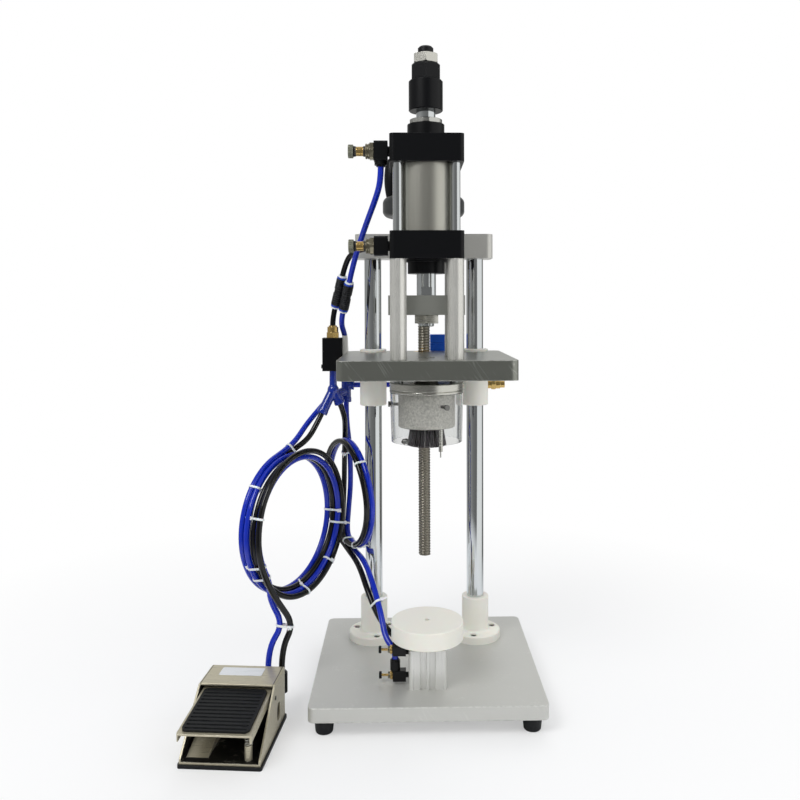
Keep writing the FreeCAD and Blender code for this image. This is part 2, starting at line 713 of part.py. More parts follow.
def lower_cap():
    cap = cap_block(LOW_CAP_BOTTOM)
    cap = cap.fuse(upright(BOSS_R, 0, 0, LOW_CAP_BOTTOM - LOW_BOSS_L, LOW_CAP_BOTTOM))
    cap = cap.fuse(upright(BOSS_STEP_R, 0, 0, LOW_CAP_BOTTOM - BOSS_STEP_T, LOW_CAP_BOTTOM))
    cap = cap.cut(upright(ROD_R + FIT, 0, 0, LOW_CAP_BOTTOM - LOW_BOSS_L, TUBE_BOTTOM))
    for x, y in corners(TIE_PITCH):
        cap = cap.cut(upright(PLATE_SCREW_R + FIT, x, y, LOW_CAP_BOTTOM, LOW_CAP_BOTTOM + STANDOFF_STUD_L))
        cap = cap.cut(upright(TIE_R + FIT, x, y, TUBE_BOTTOM - TIE_BITE, TUBE_BOTTOM))
    return cap


def upper_cap():
    cap = cap_block(TUBE_TOP)
    cap = cap.fuse(upright(BOSS_R, 0, 0, HIGH_CAP_TOP, HIGH_CAP_TOP + HIGH_BOSS_L))
    cap = cap.cut(upright(ROD_R + FIT, 0, 0, TUBE_TOP, HIGH_CAP_TOP + HIGH_BOSS_L))
    for x, y in corners(TIE_PITCH):
        cap = cap.cut(upright(TIE_R + FIT, x, y, TUBE_TOP, HIGH_CAP_TOP))
        cap = cap.cut(upright(TIE_NUT_R + FIT, x, y, HIGH_CAP_TOP - TIE_NUT_H, HIGH_CAP_TOP))
    return cap.fuse(gland_nut())


def cylinder_tube():
    return upright(TUBE_R, 0, 0, TUBE_BOTTOM, TUBE_TOP).cut(upright(BORE_R, 0, 0, TUBE_BOTTOM, TUBE_TOP))


def tie_rods():
    rods = []
    for x, y in corners(TIE_PITCH):
        bar = upright(TIE_R, x, y, TUBE_BOTTOM - TIE_BITE, HIGH_CAP_TOP - TIE_NUT_H)
        nut = upright(TIE_NUT_R, x, y, HIGH_CAP_TOP - TIE_NUT_H, HIGH_CAP_TOP - 0.5)
        socket = hexagon(TIE_R, 4, (x, y, HIGH_CAP_TOP - 4.5))
        rods.append(bar.fuse(nut).cut(socket))
    return Part.makeCompound(rods)


def gland_nut():
    bottom = HIGH_CAP_TOP + HIGH_BOSS_L
    nut = hexagon(2 * GLAND_NUT_R * 0.94, GLAND_NUT_T, (0, 0, bottom))
    cone = lathe([(0, bottom), (GLAND_NUT_R - 1, bottom), (GLAND_NUT_R, bottom + 1), (GLAND_NUT_R, GLAND_NUT_TOP - 1),
                  (GLAND_NUT_R - 1, GLAND_NUT_TOP), (0, GLAND_NUT_TOP)])
    return nut.common(cone).cut(upright(ROD_R + FIT, 0, 0, bottom, GLAND_NUT_TOP))


# Ram

def piston_rod():
    low = BAR_BOTTOM - LOW_NUT_T - 4
    piston = TUBE_BOTTOM + PISTON_ABOVE
    neck = ADJUSTER_BOTTOM + 9.5
    tip = ADJUSTER_TOP + TOP_NUT_T + STUD_TIP
    profile = [(0, low), (STUD_R - CHAMFER, low), (STUD_R, low + CHAMFER), (STUD_R, BAR_TOP), (ROD_R, BAR_TOP),
               (ROD_R, piston), (BORE_R - FIT, piston), (BORE_R - FIT, piston + PISTON_T), (ROD_R, piston + PISTON_T),
               (ROD_R, neck), (STUD_R, neck), (STUD_R, tip - 2 * CHAMFER), (STUD_R - 2 * CHAMFER, tip), (0, tip)]
    solid = lathe(profile)
    for side in (-1, 1):
        flat = block(-ROD_R, ROD_R, ROD_FLAT_AF / 2, ROD_R + 1, BAR_TOP, BAR_TOP + ROD_FLAT_L)
        if side < 0:
            flat = flat.mirror(V(0, 0, 0), Y_AXIS)
        solid = solid.cut(flat)
    return solid


def stroke_adjuster():
    z0 = ADJUSTER_BOTTOM
    z1 = z0 + ADJUSTER_L
    body = lathe([(0, z0), (ADJUSTER_R - CHAMFER, z0), (ADJUSTER_R, z0 + CHAMFER), (ADJUSTER_R, z1 - 2 * CHAMFER),
                  (ADJUSTER_R - 2 * CHAMFER, z1), (0, z1)])
    head = hexagon(ADJUSTER_HEX_AF, ADJUSTER_HEX_L, (0, 0, z1))
    r = ADJUSTER_HEX_AF / math.sqrt(3)
    cone = lathe([(0, z1), (r, z1), (r, ADJUSTER_TOP - 4), (0.8 * r, ADJUSTER_TOP), (0, ADJUSTER_TOP)])
    body = body.fuse(head.common(cone))
    body = body.cut(upright(ROD_R + FIT, 0, 0, z0, z0 + 10))
    return body.cut(upright(STUD_R + FIT, 0, 0, z0, ADJUSTER_TOP))


def chamfered_nut(bottom, height):
    """Hexagon nut for the rod's stud, with its corners turned off."""
    nut = hexagon(STUD_NUT_AF, height, (0, 0, bottom))
    r = STUD_NUT_AF / math.sqrt(3)
    top = bottom + height
    cone = lathe([(0, bottom), (0.92 * r, bottom), (r, bottom + 1.4), (r, top - 1.4), (0.92 * r, top), (0, top)])
    return nut.common(cone).cut(upright(STUD_R + FIT, 0, 0, bottom, top))


def rod_nuts():
    return Part.makeCompound([chamfered_nut(ADJUSTER_TOP, TOP_NUT_T),
                              chamfered_nut(BAR_BOTTOM - LOW_NUT_T, LOW_NUT_T)])


def crossbar():
    bar = slab(-BAR_L / 2, BAR_L / 2, -BAR_D / 2, BAR_D / 2, BAR_BOTTOM, BAR_TOP, CHAMFER)
    bar = bar.cut(upright(STUD_R + FIT, 0, 0, BAR_BOTTOM, BAR_TOP))
    for x in (-PIN_PITCH / 2, PIN_PITCH / 2):
        bar = bar.cut(upright(PIN_R + FIT, x, 0, BAR_BOTTOM, BAR_BOTTOM + PIN_IN_BAR))
    return bar


def push_pins():
    return Part.makeCompound([upright(PIN_R, x, 0, RING_TOP - PIN_IN_RING, BAR_BOTTOM + PIN_IN_BAR)
                              for x in (-PIN_PITCH / 2, PIN_PITCH / 2)])


# Capping head

def head_ring():
    groove = 0.8
    z = RING_BOTTOM
    profile = [(STEM_R + FIT, z), (RING_R - CHAMFER, z), (RING_R, z + CHAMFER), (RING_R, z + 3),
               (RING_R - groove, z + 3 + groove), (RING_R, z + 3 + 2 * groove), (RING_R, RING_TOP - CHAMFER),
               (RING_R - CHAMFER, RING_TOP), (STEM_R + FIT, RING_TOP)]
    ring = lathe(profile)
    for x in (-PIN_PITCH / 2, PIN_PITCH / 2):
        ring = ring.cut(upright(PIN_R + FIT, x, 0, RING_TOP - PIN_IN_RING, RING_TOP))
    return ring


def closing_bell():
    top = RING_BOTTOM
    bottom = top - BELL_H
    mouth = bottom + BELL_MOUTH_H
    roof = top - BELL_ROOF_T
    profile = [(BELL_MOUTH_R, bottom), (BELL_R - CHAMFER, bottom), (BELL_R, bottom + CHAMFER), (BELL_R, top),
               (STEM_R + FIT, top), (STEM_R + FIT, roof), (BELL_BORE_R, roof), (BELL_BORE_R, mouth)]
    shell = lathe(profile)
    z = top - GUARD_SCREW_DROP
    for a in GUARD_SCREW_ANGLES:
        px, py = around(BELL_R - 5, a)
        qx, qy = around(BELL_R + 5, a)
        shell = shell.cut(rod(GUARD_SCREW_R + FIT, (px, py, z), (qx, qy, z)))
    x, y = around(GAUGE_ORBIT, GAUGE_ANGLE)
    return shell.cut(upright(GAUGE_PIN_R + FIT, x, y, bottom, bottom + 6))


def guard_radius(z):
    """Outer radius of the tapered guard at a level."""
    return RING_R - 0.5 - GUARD_TAPER * (RING_BOTTOM - z) / GUARD_H


def guard_cup():
    top = RING_BOTTOM
    bottom = top - GUARD_H
    a, b = guard_radius(top), guard_radius(bottom)
    profile = [(b - GUARD_WALL, bottom), (b, bottom), (a, top), (a - GUARD_WALL, top)]
    cup = lathe(profile)
    holes = [(a, top - GUARD_SCREW_DROP) for a in GUARD_SCREW_ANGLES] + [(CATCH_ANGLE, top - CATCH_DROP)]
    for angle, z in holes:
        px, py = around(BELL_R + 1, angle)
        qx, qy = around(RING_R + 5, angle)
        cup = cup.cut(rod(GUARD_SCREW_R + FIT, (px, py, z), (qx, qy, z)))
    return cup


def guard_screws():
    screws = []
    z = RING_BOTTOM - GUARD_SCREW_DROP
    outer = guard_radius(z) + 0.3
    for a in GUARD_SCREW_ANGLES:
        start = around(BELL_R - 5, a) + (z,)
        seat = around(outer, a) + (z,)
        end = around(outer + 2.5, a) + (z,)
        screws.append(rod(GUARD_SCREW_R, start, seat).fuse(rod(1.8 * GUARD_SCREW_R, seat, end)))
    return Part.makeCompound(screws + [guard_catch()])


def guard_catch():
    z = RING_BOTTOM - CATCH_DROP
    outer = guard_radius(z)
    inner = outer - GUARD_WALL
    start = around(inner - 5, CATCH_ANGLE) + (z,)
    seat = around(inner - 0.3, CATCH_ANGLE) + (z,)
    end = around(outer + 1, CATCH_ANGLE) + (z,)
    return rod(1.8 * GUARD_SCREW_R, start, seat).fuse(rod(GUARD_SCREW_R, seat, end))


def gauge_pin():
    x, y = around(GAUGE_ORBIT, GAUGE_ANGLE)
    top = RING_BOTTOM - BELL_H + 6
    low = top - 6 - GAUGE_PIN_L
    profile = [(0, low - GAUGE_TIP_L), (GAUGE_TIP_R, low - GAUGE_TIP_L), (GAUGE_TIP_R, low), (GAUGE_PIN_R, low),
               (GAUGE_PIN_R, top), (0, top)]
    return lathe(profile, x, y)


def collet():
    z = COLLET_BOTTOM
    roof = COLLET_TOP - COLLET_ROOF_T
    profile = [(COLLET_THROAT_R, z), (COLLET_LIP_R - CHAMFER, z), (COLLET_LIP_R, z + CHAMFER),
               (COLLET_R, z + COLLET_FLARE_H), (COLLET_R, COLLET_TOP), (STEM_NOSE_R + FIT, COLLET_TOP),
               (STEM_NOSE_R + FIT, roof), (COLLET_BORE_R, roof),
               (COLLET_BORE_R, z + COLLET_THROAT_H + 2), (COLLET_THROAT_R, z + COLLET_THROAT_H)]
    fingers = lathe(profile)
    for i in range(SLITS // 2):
        saw = block(-COLLET_LIP_R - 1, COLLET_LIP_R + 1, -SLIT_W / 2, SLIT_W / 2, z - 1, z + SLIT_H)
        saw.rotate(V(0, 0, 0), Z_AXIS, (i + 0.5) * 360.0 / SLITS)
        fingers = fingers.cut(saw)
    return fingers


def collet_stem():
    profile = [(0, COLLET_TOP - COLLET_ROOF_T), (STEM_NOSE_R, COLLET_TOP - COLLET_ROOF_T), (STEM_NOSE_R, COLLET_TOP),
               (STEM_R, COLLET_TOP), (STEM_R, PLATE_BOTTOM), (STEM_SPIGOT_R, PLATE_BOTTOM),
               (STEM_SPIGOT_R, PLATE_TOP - 1), (0, PLATE_TOP - 1)]
    stem = lathe(profile)
    return stem.cut(hexagon(12, 6, (0, 0, PLATE_TOP - 7)))


# Lift table

def lift_cylinder():
    h = LIFT_W / 2
    body = slab(-h, h, -h, h, BASE_TOP, BASE_TOP + LIFT_H, LIFT_CORNER)
    for turn in (0, 90, 180):
        for x in (-GROOVE_PITCH / 2, GROOVE_PITCH / 2):
            groove = block(x - GROOVE_W / 2, x + GROOVE_W / 2, -h - 1, -h + GROOVE_DEPTH, BASE_TOP, BASE_TOP + LIFT_H)
            groove.rotate(V(0, 0, 0), Z_AXIS, turn)
            body = body.cut(groove)
    body = body.cut(upright(LIFT_BORE_R, 0, 0, BASE_TOP + LIFT_END_T, BASE_TOP + LIFT_H - LIFT_END_T))
    body = body.cut(upright(LIFT_ROD_R + FIT, 0, 0, BASE_TOP + LIFT_H - LIFT_END_T, BASE_TOP + LIFT_H))
    top = BASE_TOP + LIFT_H
    for x, y in corners(LIFT_BOLT_PITCH):
        body = body.cut(upright(LIFT_BOLT_R + FIT, x, y, BASE_TOP, top))
        body = body.cut(upright(1.7 * LIFT_BOLT_R + FIT, x, y, top - 2 * LIFT_BOLT_R - 1, top))
    for valve in (RAISE_VALVE, LOWER_VALVE):
        y, z = valve["port_y"], BASE_TOP + valve["port"]
        body = body.cut(rod(LIFT_PORT_R + FIT, (-h, y, z), (-h + LIFT_PORT_DEPTH, y, z)))
    return body


def lift_screws():
    top = BASE_TOP + LIFT_H - 1
    length = LIFT_H - 1 + LIFT_BOLT_BITE
    return [cap_screw(LIFT_BOLT_R, x, y, top, length) for x, y in corners(LIFT_BOLT_PITCH)]


def lift_rod():
    low = BASE_TOP + LIFT_END_T + 1
    profile = [(0, low), (LIFT_BORE_R - FIT, low), (LIFT_BORE_R - FIT, low + LIFT_PISTON_T),
               (LIFT_ROD_R, low + LIFT_PISTON_T), (LIFT_ROD_R, DISC_BOTTOM), (LIFT_SPIGOT_R, DISC_BOTTOM),
               (LIFT_SPIGOT_R, DISC_BOTTOM + LIFT_SPIGOT_L), (0, DISC_BOTTOM + LIFT_SPIGOT_L)]
    return lathe(profile)


def support_disc():
    r = DISC_ROUND
    k = r * (1 - math.sqrt(0.5))
    hole = LIFT_SPIGOT_R + FIT
    deep = DISC_BOTTOM + LIFT_SPIGOT_L
    profile = [(hole, DISC_BOTTOM), (DISC_R - r, DISC_BOTTOM),
               (DISC_R, DISC_BOTTOM + r, DISC_R - k, DISC_BOTTOM + k), (DISC_R, -r),
               (DISC_R - r, 0, DISC_R - k, -k), (PILOT_R, 0), (PILOT_R, -PILOT_DEPTH), (0, -PILOT_DEPTH),
               (0, deep), (hole, deep)]
    return lathe(profile)


# Flow control valves

def main_valve(z, outlet):
    """Elbow flow valve on the cylinder's left side. Outlet is the way its hose leaves."""
    x1 = VALVE_X + VALVE_BODY_L / 2
    x0 = VALVE_X - VALVE_BODY_L / 2
    body = block(x0, x1, PORT_Y - VALVE_BODY_D / 2, PORT_Y + VALVE_BODY_D / 2,
                 z - VALVE_BODY_H / 2, z + VALVE_BODY_H / 2)
    body = body.makeFillet(3, [e for e in body.Edges if abs(e.Vertexes[0].X - e.Vertexes[-1].X) > 1])
    stub = rod(PORT_R, (x1 - 1, PORT_Y, z), (-CAP_W / 2 + PORT_DEPTH, PORT_Y, z))
    mid = V(VALVE_X, PORT_Y, z)
    reach = (VALVE_BODY_H if outlet.z else VALVE_BODY_D) / 2 + VALVE_COLLAR_L
    collar = Part.makeCylinder(VALVE_COLLAR_R, reach, mid, outlet)
    grip = Part.makeCylinder(HOSE_R + 1.8, reach + COLLAR_GRIP, mid, outlet)
    body = body.fuse([stub, collar, grip])
    return body.cut(rod(NEEDLE_R + FIT, (x0, PORT_Y, z), (x0 + NEEDLE_IN + 1, PORT_Y, z)))


def main_valves():
    return Part.makeCompound([main_valve(HIGH_VALVE_Z, V(0, 0, -1)), main_valve(LOW_VALVE_Z, V(0, 1, 0))])


def turned_along_minus_x(steps, x, y, z):
    """Turned piece along -X from x: each step is (radius, length)."""
    solid = None
    for radius, length in steps:
        piece = rod(radius, (x, y, z), (x - length, y, z))
        solid = piece if solid is None else solid.fuse(piece)
        x -= length
    return solid


def main_needle(z):
    x = VALVE_X - VALVE_BODY_L / 2
    needle = rod(NEEDLE_R, (x + NEEDLE_IN, PORT_Y, z), (x, PORT_Y, z))
    nut = hexagon(VALVE_HEX_AF, VALVE_HEX_L, (x, PORT_Y, z), V(-1, 0, 0))
    rest = turned_along_minus_x([(VALVE_NECK_R, VALVE_NECK_L), (VALVE_SHANK_R, VALVE_SHANK_L),
                                 (VALVE_RIB_R, VALVE_RIB_L), (VALVE_KNOB_R, VALVE_KNOB_L)],
                                x - VALVE_HEX_L, PORT_Y, z)
    return needle.fuse([nut, rest])


def lift_valve(spec, outlet):
    """Small elbow flow valve on the lift cylinder's left side."""
    x1 = -LIFT_W / 2 - LIFT_VALVE_GAP
    x0 = x1 - LIFT_VALVE_L
    h = LIFT_VALVE_W / 2
    y = spec["y"]
    z = BASE_TOP + spec["height"]
    port = BASE_TOP + spec["port"]
    body = block(x0, x1, y - h, y + h, z - h, z + h)
    body = body.makeFillet(2, [e for e in body.Edges if abs(e.Vertexes[0].X - e.Vertexes[-1].X) > 1])
    port_y = spec["port_y"]
    stub = rod(LIFT_PORT_R, (x1 - 1, port_y, port), (-LIFT_W / 2 + LIFT_PORT_DEPTH, port_y, port))
    mid = V(spec["outlet_x"], y, z)
    face = mid + outlet * h
    collar = Part.makeCylinder(LIFT_COLLAR_R, max(spec["reach"] - COLLAR_GRIP - h, 0.5), face, outlet)
    grip = Part.makeCylinder(HOSE_R + 1, spec["reach"] - h, face, outlet)
    body = body.fuse([stub, collar, grip])
    return body.cut(rod(LIFT_NEEDLE_R + FIT, (x0, y, z), (x0 + LIFT_NEEDLE_IN + 1, y, z)))


def lift_valves():
    return Part.makeCompound([lift_valve(RAISE_VALVE, Y_AXIS), lift_valve(LOWER_VALVE, Z_AXIS)])


def lift_needle(spec):
    x = -LIFT_W / 2 - LIFT_VALVE_GAP - LIFT_VALVE_L
    y = spec["y"]
    z = BASE_TOP + spec["height"]
    needle = rod(LIFT_NEEDLE_R, (x + LIFT_NEEDLE_IN, y, z), (x, y, z))
    nut = hexagon(10, 3.5, (x, y, z), V(-1, 0, 0))
    rest = turned_along_minus_x([(4.5, 3), (LIFT_NEEDLE_R, 8), (4.5, 3.5)], x - 3.5, y, z)
    return needle.fuse([nut, rest])


# Air manifold behind the head plate, and the block on its left side

def air_manifold():
    x0, x1 = MANIFOLD_X, MANIFOLD_X + MANIFOLD_W
    y0 = PLATE_FRONT + PLATE_D
    y1 = y0 + MANIFOLD_D
    top = PLATE_TOP + MANIFOLD_HIGH
    body = slab(x0, x1, y0, y1, PLATE_BOTTOM - MANIFOLD_LOW, top, CHAMFER)
    for x in (x0, x1 - PORT_DEPTH):
        body = body.cut(rod(PORT_R + FIT, (x, AIR_Y, AIR_LEVEL), (x + PORT_DEPTH, AIR_Y, AIR_LEVEL)))
    joint = top - MANIFOLD_D / 2
    groove = block(x0 - 1, x1 + 1, y0 - 1, y1 + 1, joint - 0.6, joint + 0.6)
    body = body.cut(groove.cut(block(x0 + 0.8, x1 - 0.8, y0 + 0.8, y1 - 0.8, joint - 1, joint + 1)))
    x, z = (x0 + x1) / 2, PLATE_BOTTOM + PLATE_T / 2
    body = body.cut(rod(MANIFOLD_SCREW_R + FIT, (x, y0, z), (x, y1, z)))
    return body.cut(rod(1.7 * MANIFOLD_SCREW_R + FIT, (x, y1 - 2 * MANIFOLD_SCREW_R, z), (x, y1, z)))


def manifold_screw():
    x, z = MANIFOLD_X + MANIFOLD_W / 2, PLATE_BOTTOM + PLATE_T / 2
    y0 = PLATE_FRONT + PLATE_D
    y1 = y0 + MANIFOLD_D - 2 * MANIFOLD_SCREW_R
    shank = rod(MANIFOLD_SCREW_R, (x, y0 - MANIFOLD_SCREW_BITE, z), (x, y1, z))
    head = rod(1.7 * MANIFOLD_SCREW_R, (x, y1, z), (x, y1 + 2 * MANIFOLD_SCREW_R - 0.5, z))
    return shank.fuse(head).cut(hexagon(1.6 * MANIFOLD_SCREW_R, 4, (x, y1 + 2, z), Y_AXIS))


def air_fittings():
    """Air inlet on the manifold's right, its stub on the left, and the brass fitting on the valve block."""
    y, z = AIR_Y, AIR_LEVEL
    x = MANIFOLD_X + MANIFOLD_W
    end = x + INLET_PIPE_L
    inlet = rod(PORT_R, (x - PORT_DEPTH, y, z), (end, y, z))
    inlet = inlet.fuse([hexagon(15, 6, (end, y, z), X_AXIS), rod(INLET_COLLAR_R, (end + 6, y, z), (end + 13, y, z)),
                        rod(INLET_R, (end + 13, y, z), (end + 20, y, z))])
    stub = rod(PORT_R, (MANIFOLD_X + PORT_DEPTH, y, z), (MANIFOLD_X - AIR_STUB_L, y, z))
    x, y, z = BLOCK_X, BLOCK_MID_Y, BLOCK_TOP
    collar = z + BLOCK_FITTING_L - COLLAR_GRIP
    brass = upright(PORT_R, x, y, z - PORT_DEPTH, z)
    brass = brass.fuse([hexagon(17, 8, (x, y, z)), upright(8, x, y, z + 8, collar),
                        upright(HOSE_R + 2, x, y, collar, collar + COLLAR_GRIP)])
    return Part.makeCompound([inlet, stub, brass])


def valve_bracket():
    x = -PLATE_W / 2
    y0, y1 = BRACKET_Y
    z0, z1 = PLATE_BOTTOM, PLATE_TOP + BRACKET_HIGH
    side = [V(x, y0, z0), V(x, y1, z0), V(x, y1, z1 - BRACKET_CUT), V(x, y1 - BRACKET_CUT, z1), V(x, y0, z1),
            V(x, y0, z0)]
    return Part.Face(Part.makePolygon(side)).extrude(V(-BRACKET_T, 0, 0))


def valve_block():
    x1 = BLOCK_X + BLOCK_W / 2
    x0 = BLOCK_X - BLOCK_W / 2
    z0 = PLATE_BOTTOM - BLOCK_LOW
    body = slab(x0, x1, BLOCK_Y[0], BLOCK_Y[1], z0, BLOCK_TOP, 1.5)
    body = body.cut(upright(PORT_R + FIT, BLOCK_X, BLOCK_MID_Y, BLOCK_TOP - PORT_DEPTH, BLOCK_TOP))
    body = body.cut(upright(PORT_R + FIT, BLOCK_X, BLOCK_MID_Y, z0, z0 + PORT_DEPTH))
    return body.fuse(rod(3, (x0 + 1, BLOCK_MID_Y, z0 + 6), (x0 - 2.5, BLOCK_MID_Y, z0 + 6)))


# Hose fittings that hang on the hoses

def onward(start, through, distance):
    """Point that lies a distance past `through` on the line from start."""
    a, b = V(*start), V(*through)
    return tuple(b + (b - a).normalize() * distance)


def part_way(start, end, distance):
    """Point that lies a distance from start towards end."""
    return onward(end, start, -distance)


def union_black():
    return UNION_BLACK_TOP, part_way(UNION_BLACK_TOP, UNION_BLACK_AIM, UNION_BLACK_L)


def hose_unions():
    pieces = []
    for top, bottom in (UNION_BLUE, union_black()):
        a, b = V(*top), V(*bottom)
        length = (b - a).Length
        along = (b - a).normalize()
        solid = Part.makeCylinder(UNION_R, length - 2 * COLLAR_GRIP, a + along * COLLAR_GRIP, along)
        pieces.append(solid.fuse(Part.makeCylinder(HOSE_R + 2, length, a, along)))
    return pieces


def splitters():
    """Translucent Y piece under the block, and the cross piece behind the bracket."""
    stem = upright(PORT_R, BLOCK_X, BLOCK_MID_Y, FORK[2], PLATE_BOTTOM - BLOCK_LOW + PORT_DEPTH)
    knot = Part.makeSphere(Y_BODY_R + 1, V(*FORK))
    fork = stem.fuse([knot, rod(Y_BODY_R, FORK, FORK_LEFT), rod(Y_BODY_R, FORK, FORK_RIGHT)])
    cross = upright(Y_BODY_R, TEE_X, AIR_Y, TEE_LOW, TEE_TOP)
    cross = cross.fuse([rod(Y_BODY_R, (TEE_X, AIR_Y, AIR_LEVEL), (TEE_X + TEE_ARM_L, AIR_Y, AIR_LEVEL)),
                        rod(Y_BODY_R - 0.5, TEE_SIDE_START, part_way(TEE_SIDE_START, TEE_SIDE_AIM, TEE_SIDE_L))])
    return [fork, cross]


def hose_fittings():
    return Part.makeCompound(hose_unions() + splitters())


# Foot valve, in its own frame: x across, y back from the case's front edge, z up from the floor

def set_down(shape):
    """Move a shape from the foot valve's frame to where it stands."""
    moved = shape.copy()
    moved.rotate(V(0, 0, 0), Z_AXIS, PEDAL_TURN)
    return moved.translated(V(PEDAL_PLACE[0], PEDAL_PLACE[1], FLOOR))


def foot_point(x, y, z):
    """Point of the foot valve's frame in the part's frame."""
    turned = FreeCAD.Rotation(Z_AXIS, PEDAL_TURN).multVec(V(x, y, z))
    return tuple(turned + V(PEDAL_PLACE[0], PEDAL_PLACE[1], FLOOR))


def side_plate(points, x0, x1):
    """Plate between two x values from its outline in y, z."""
    wire = Part.makePolygon([V(x0, y, z) for y, z in points + points[:1]])
    return Part.Face(wire).extrude(V(x1 - x0, 0, 0))


def foot_pad():
    x = CASE_W / 2 + CASE_PAD_EDGE
    return set_down(slab(-x, x, -CASE_PAD_EDGE, CASE_L + CASE_PAD_EDGE, 0, CASE_PAD_T, CASE_ROUND))


def foot_case():
    outer = CASE_W / 2
    inner = outer - CASE_WALL
    low = CASE_PAD_T
    roof = CASE_L - CASE_ROOF_L
    side = [(0, low), (0, low + 6), (roof, CASE_H), (CASE_L, CASE_H), (CASE_L, low)]
    case = side_plate(side, -outer, outer)
    hollow = [(-1, low + CASE_FLOOR_T), (-1, CASE_H + 1), (roof - 1, CASE_H + 1), (roof - 1, CASE_H - CASE_WALL),
              (CASE_L - CASE_WALL, CASE_H - CASE_WALL), (CASE_L - CASE_WALL, low + CASE_FLOOR_T)]
    rim = [e for e in case.Edges if abs(e.CenterOfMass.y - CASE_L) < 0.1 or
           (abs(e.CenterOfMass.z - CASE_H) < 0.1 and e.CenterOfMass.y > roof + 1)]
    case = case.makeFillet(CASE_ROUND - 1, [e for e in rim if e.CenterOfMass.z > low + 1])
    case = case.cut(side_plate(hollow, -inner, inner))
    case = case.cut(rod(PIVOT_R + FIT, (-outer - 1, PIVOT_Y, PIVOT_H), (outer + 1, PIVOT_Y, PIVOT_H)))
    slot = block(inner - 1, outer + 1, CASE_L - 41, CASE_L - 26, 14, 36)
    slot = slot.makeFillet(6.5, [e for e in slot.Edges if abs(e.Vertexes[0].X - e.Vertexes[-1].X) > 1])
    case = case.cut(slot)
    for x in FOOT_PORT_XS:
        case = case.cut(rod(FOOT_PORT_R + FIT, (x, CASE_L - 2 * CASE_WALL, FOOT_PORT_H), (x, CASE_L + 1, FOOT_PORT_H)))
    ramp_foot, ramp_top = low + CASE_FLOOR_T, low + CASE_FLOOR_T + RAMP_H
    ramp = [(RAMP_FRONT, ramp_foot), (PIVOT_Y - RAMP_GAP, ramp_top), (PIVOT_Y - RAMP_GAP, ramp_foot)]
    stop = side_plate(ramp, *RAMP_XS)
    x, y = POST_PLACE
    post = upright(POST_R, x, y, low + 1, low + POST_H)
    return set_down(case.fuse([stop, post]))


def foot_valve():
    """Valve body inside the case with its two elbows, and the pedal's pivot pin."""
    x0, x1, y0, y1, h = FOOT_BLOCK
    body = block(x0, x1, y0, y1, CASE_PAD_T + CASE_FLOOR_T, h)
    for x in FOOT_PORT_XS:
        body = body.cut(rod(FOOT_PORT_R + FIT, (x, y1 - PORT_DEPTH, FOOT_PORT_H), (x, y1, FOOT_PORT_H)))
    plunger = rod(4, (0, y0, h - 8), (0, y0 - 6, h - 8))
    outer = CASE_W / 2
    pin = rod(PIVOT_R, (-outer - 0.6, PIVOT_Y, PIVOT_H), (outer + 0.6, PIVOT_Y, PIVOT_H))
    return set_down(Part.makeCompound([body.fuse(plunger), pin] + foot_elbows()))


def foot_elbows():
    elbows = []
    for x in FOOT_PORT_XS:
        back = CASE_L + FOOT_ELBOW_BACK
        pipe = rod(FOOT_PORT_R, (x, FOOT_BLOCK[3] - PORT_DEPTH, FOOT_PORT_H), (x, back, FOOT_PORT_H))
        nut = hexagon(13, 5, (x, CASE_L, FOOT_PORT_H), Y_AXIS)
        top = FOOT_ELBOW_TOP - COLLAR_GRIP
        riser = upright(UNION_R, x, back, FOOT_PORT_H - UNION_R, top)
        grip = upright(HOSE_R + 1.5, x, back, top, top + COLLAR_GRIP)
        elbows.append(pipe.fuse([nut, riser, grip]))
    return elbows


def pedal_slope():
    return (PEDAL_BACK_H - PEDAL_FRONT_H) / (PEDAL_BACK - PEDAL_FRONT)


def pedal_top(y):
    return PEDAL_FRONT_H + pedal_slope() * (y - PEDAL_FRONT)


def pedal():
    h = PEDAL_W / 2
    front, back = PEDAL_FRONT, PEDAL_BACK
    side = [(front, pedal_top(front) - PEDAL_SKIRT), (front, pedal_top(front)), (back, pedal_top(back)),
            (back, pedal_top(back) - PEDAL_LUG), (PIVOT_Y - 10, pedal_top(back) - PEDAL_LUG),
            (PIVOT_Y - 24, pedal_top(PIVOT_Y - 24) - PEDAL_SKIRT)]
    body = side_plate(side, -h, h)
    nose = [e for e in body.Edges if abs(e.CenterOfMass.y - front) < 0.1 and abs(abs(e.CenterOfMass.x) - h) < 0.1]
    body = body.makeFillet(PEDAL_CORNER, nose)
    under = [(front - 1, -1), (front - 1, pedal_top(front - 1) - PEDAL_T),
             (back + 1, pedal_top(back + 1) - PEDAL_T), (back + 1, -1)]
    body = body.cut(side_plate(under, -h + PEDAL_T, h - PEDAL_T))
    return set_down(body.cut(rod(PIVOT_R + FIT, (-h - 1, PIVOT_Y, PIVOT_H), (h + 1, PIVOT_Y, PIVOT_H))))


def pedal_tread():
    h = PEDAL_W / 2 - TREAD_EDGE
    front = PEDAL_FRONT + TREAD_EDGE
    back = CASE_L - CASE_ROOF_L - 1
    sheet = slab(-h, h, front, back, 0, TREAD_T, TREAD_CORNER)
    gap = (back - front) / TREAD_RIBS
    groove_w = 0.45 * gap
    for i in range(TREAD_RIBS):
        y = front + (i + 0.5) * gap
        sheet = sheet.cut(block(-h + 3, h - 3, y - groove_w / 2, y + groove_w / 2, TREAD_T - TREAD_RIB_H, TREAD_T + 1))
    tilt = math.degrees(math.atan(pedal_slope()))
    sheet.rotate(V(0, front, 0), X_AXIS, tilt)
    return set_down(sheet.translated(V(0, 0, pedal_top(front))))


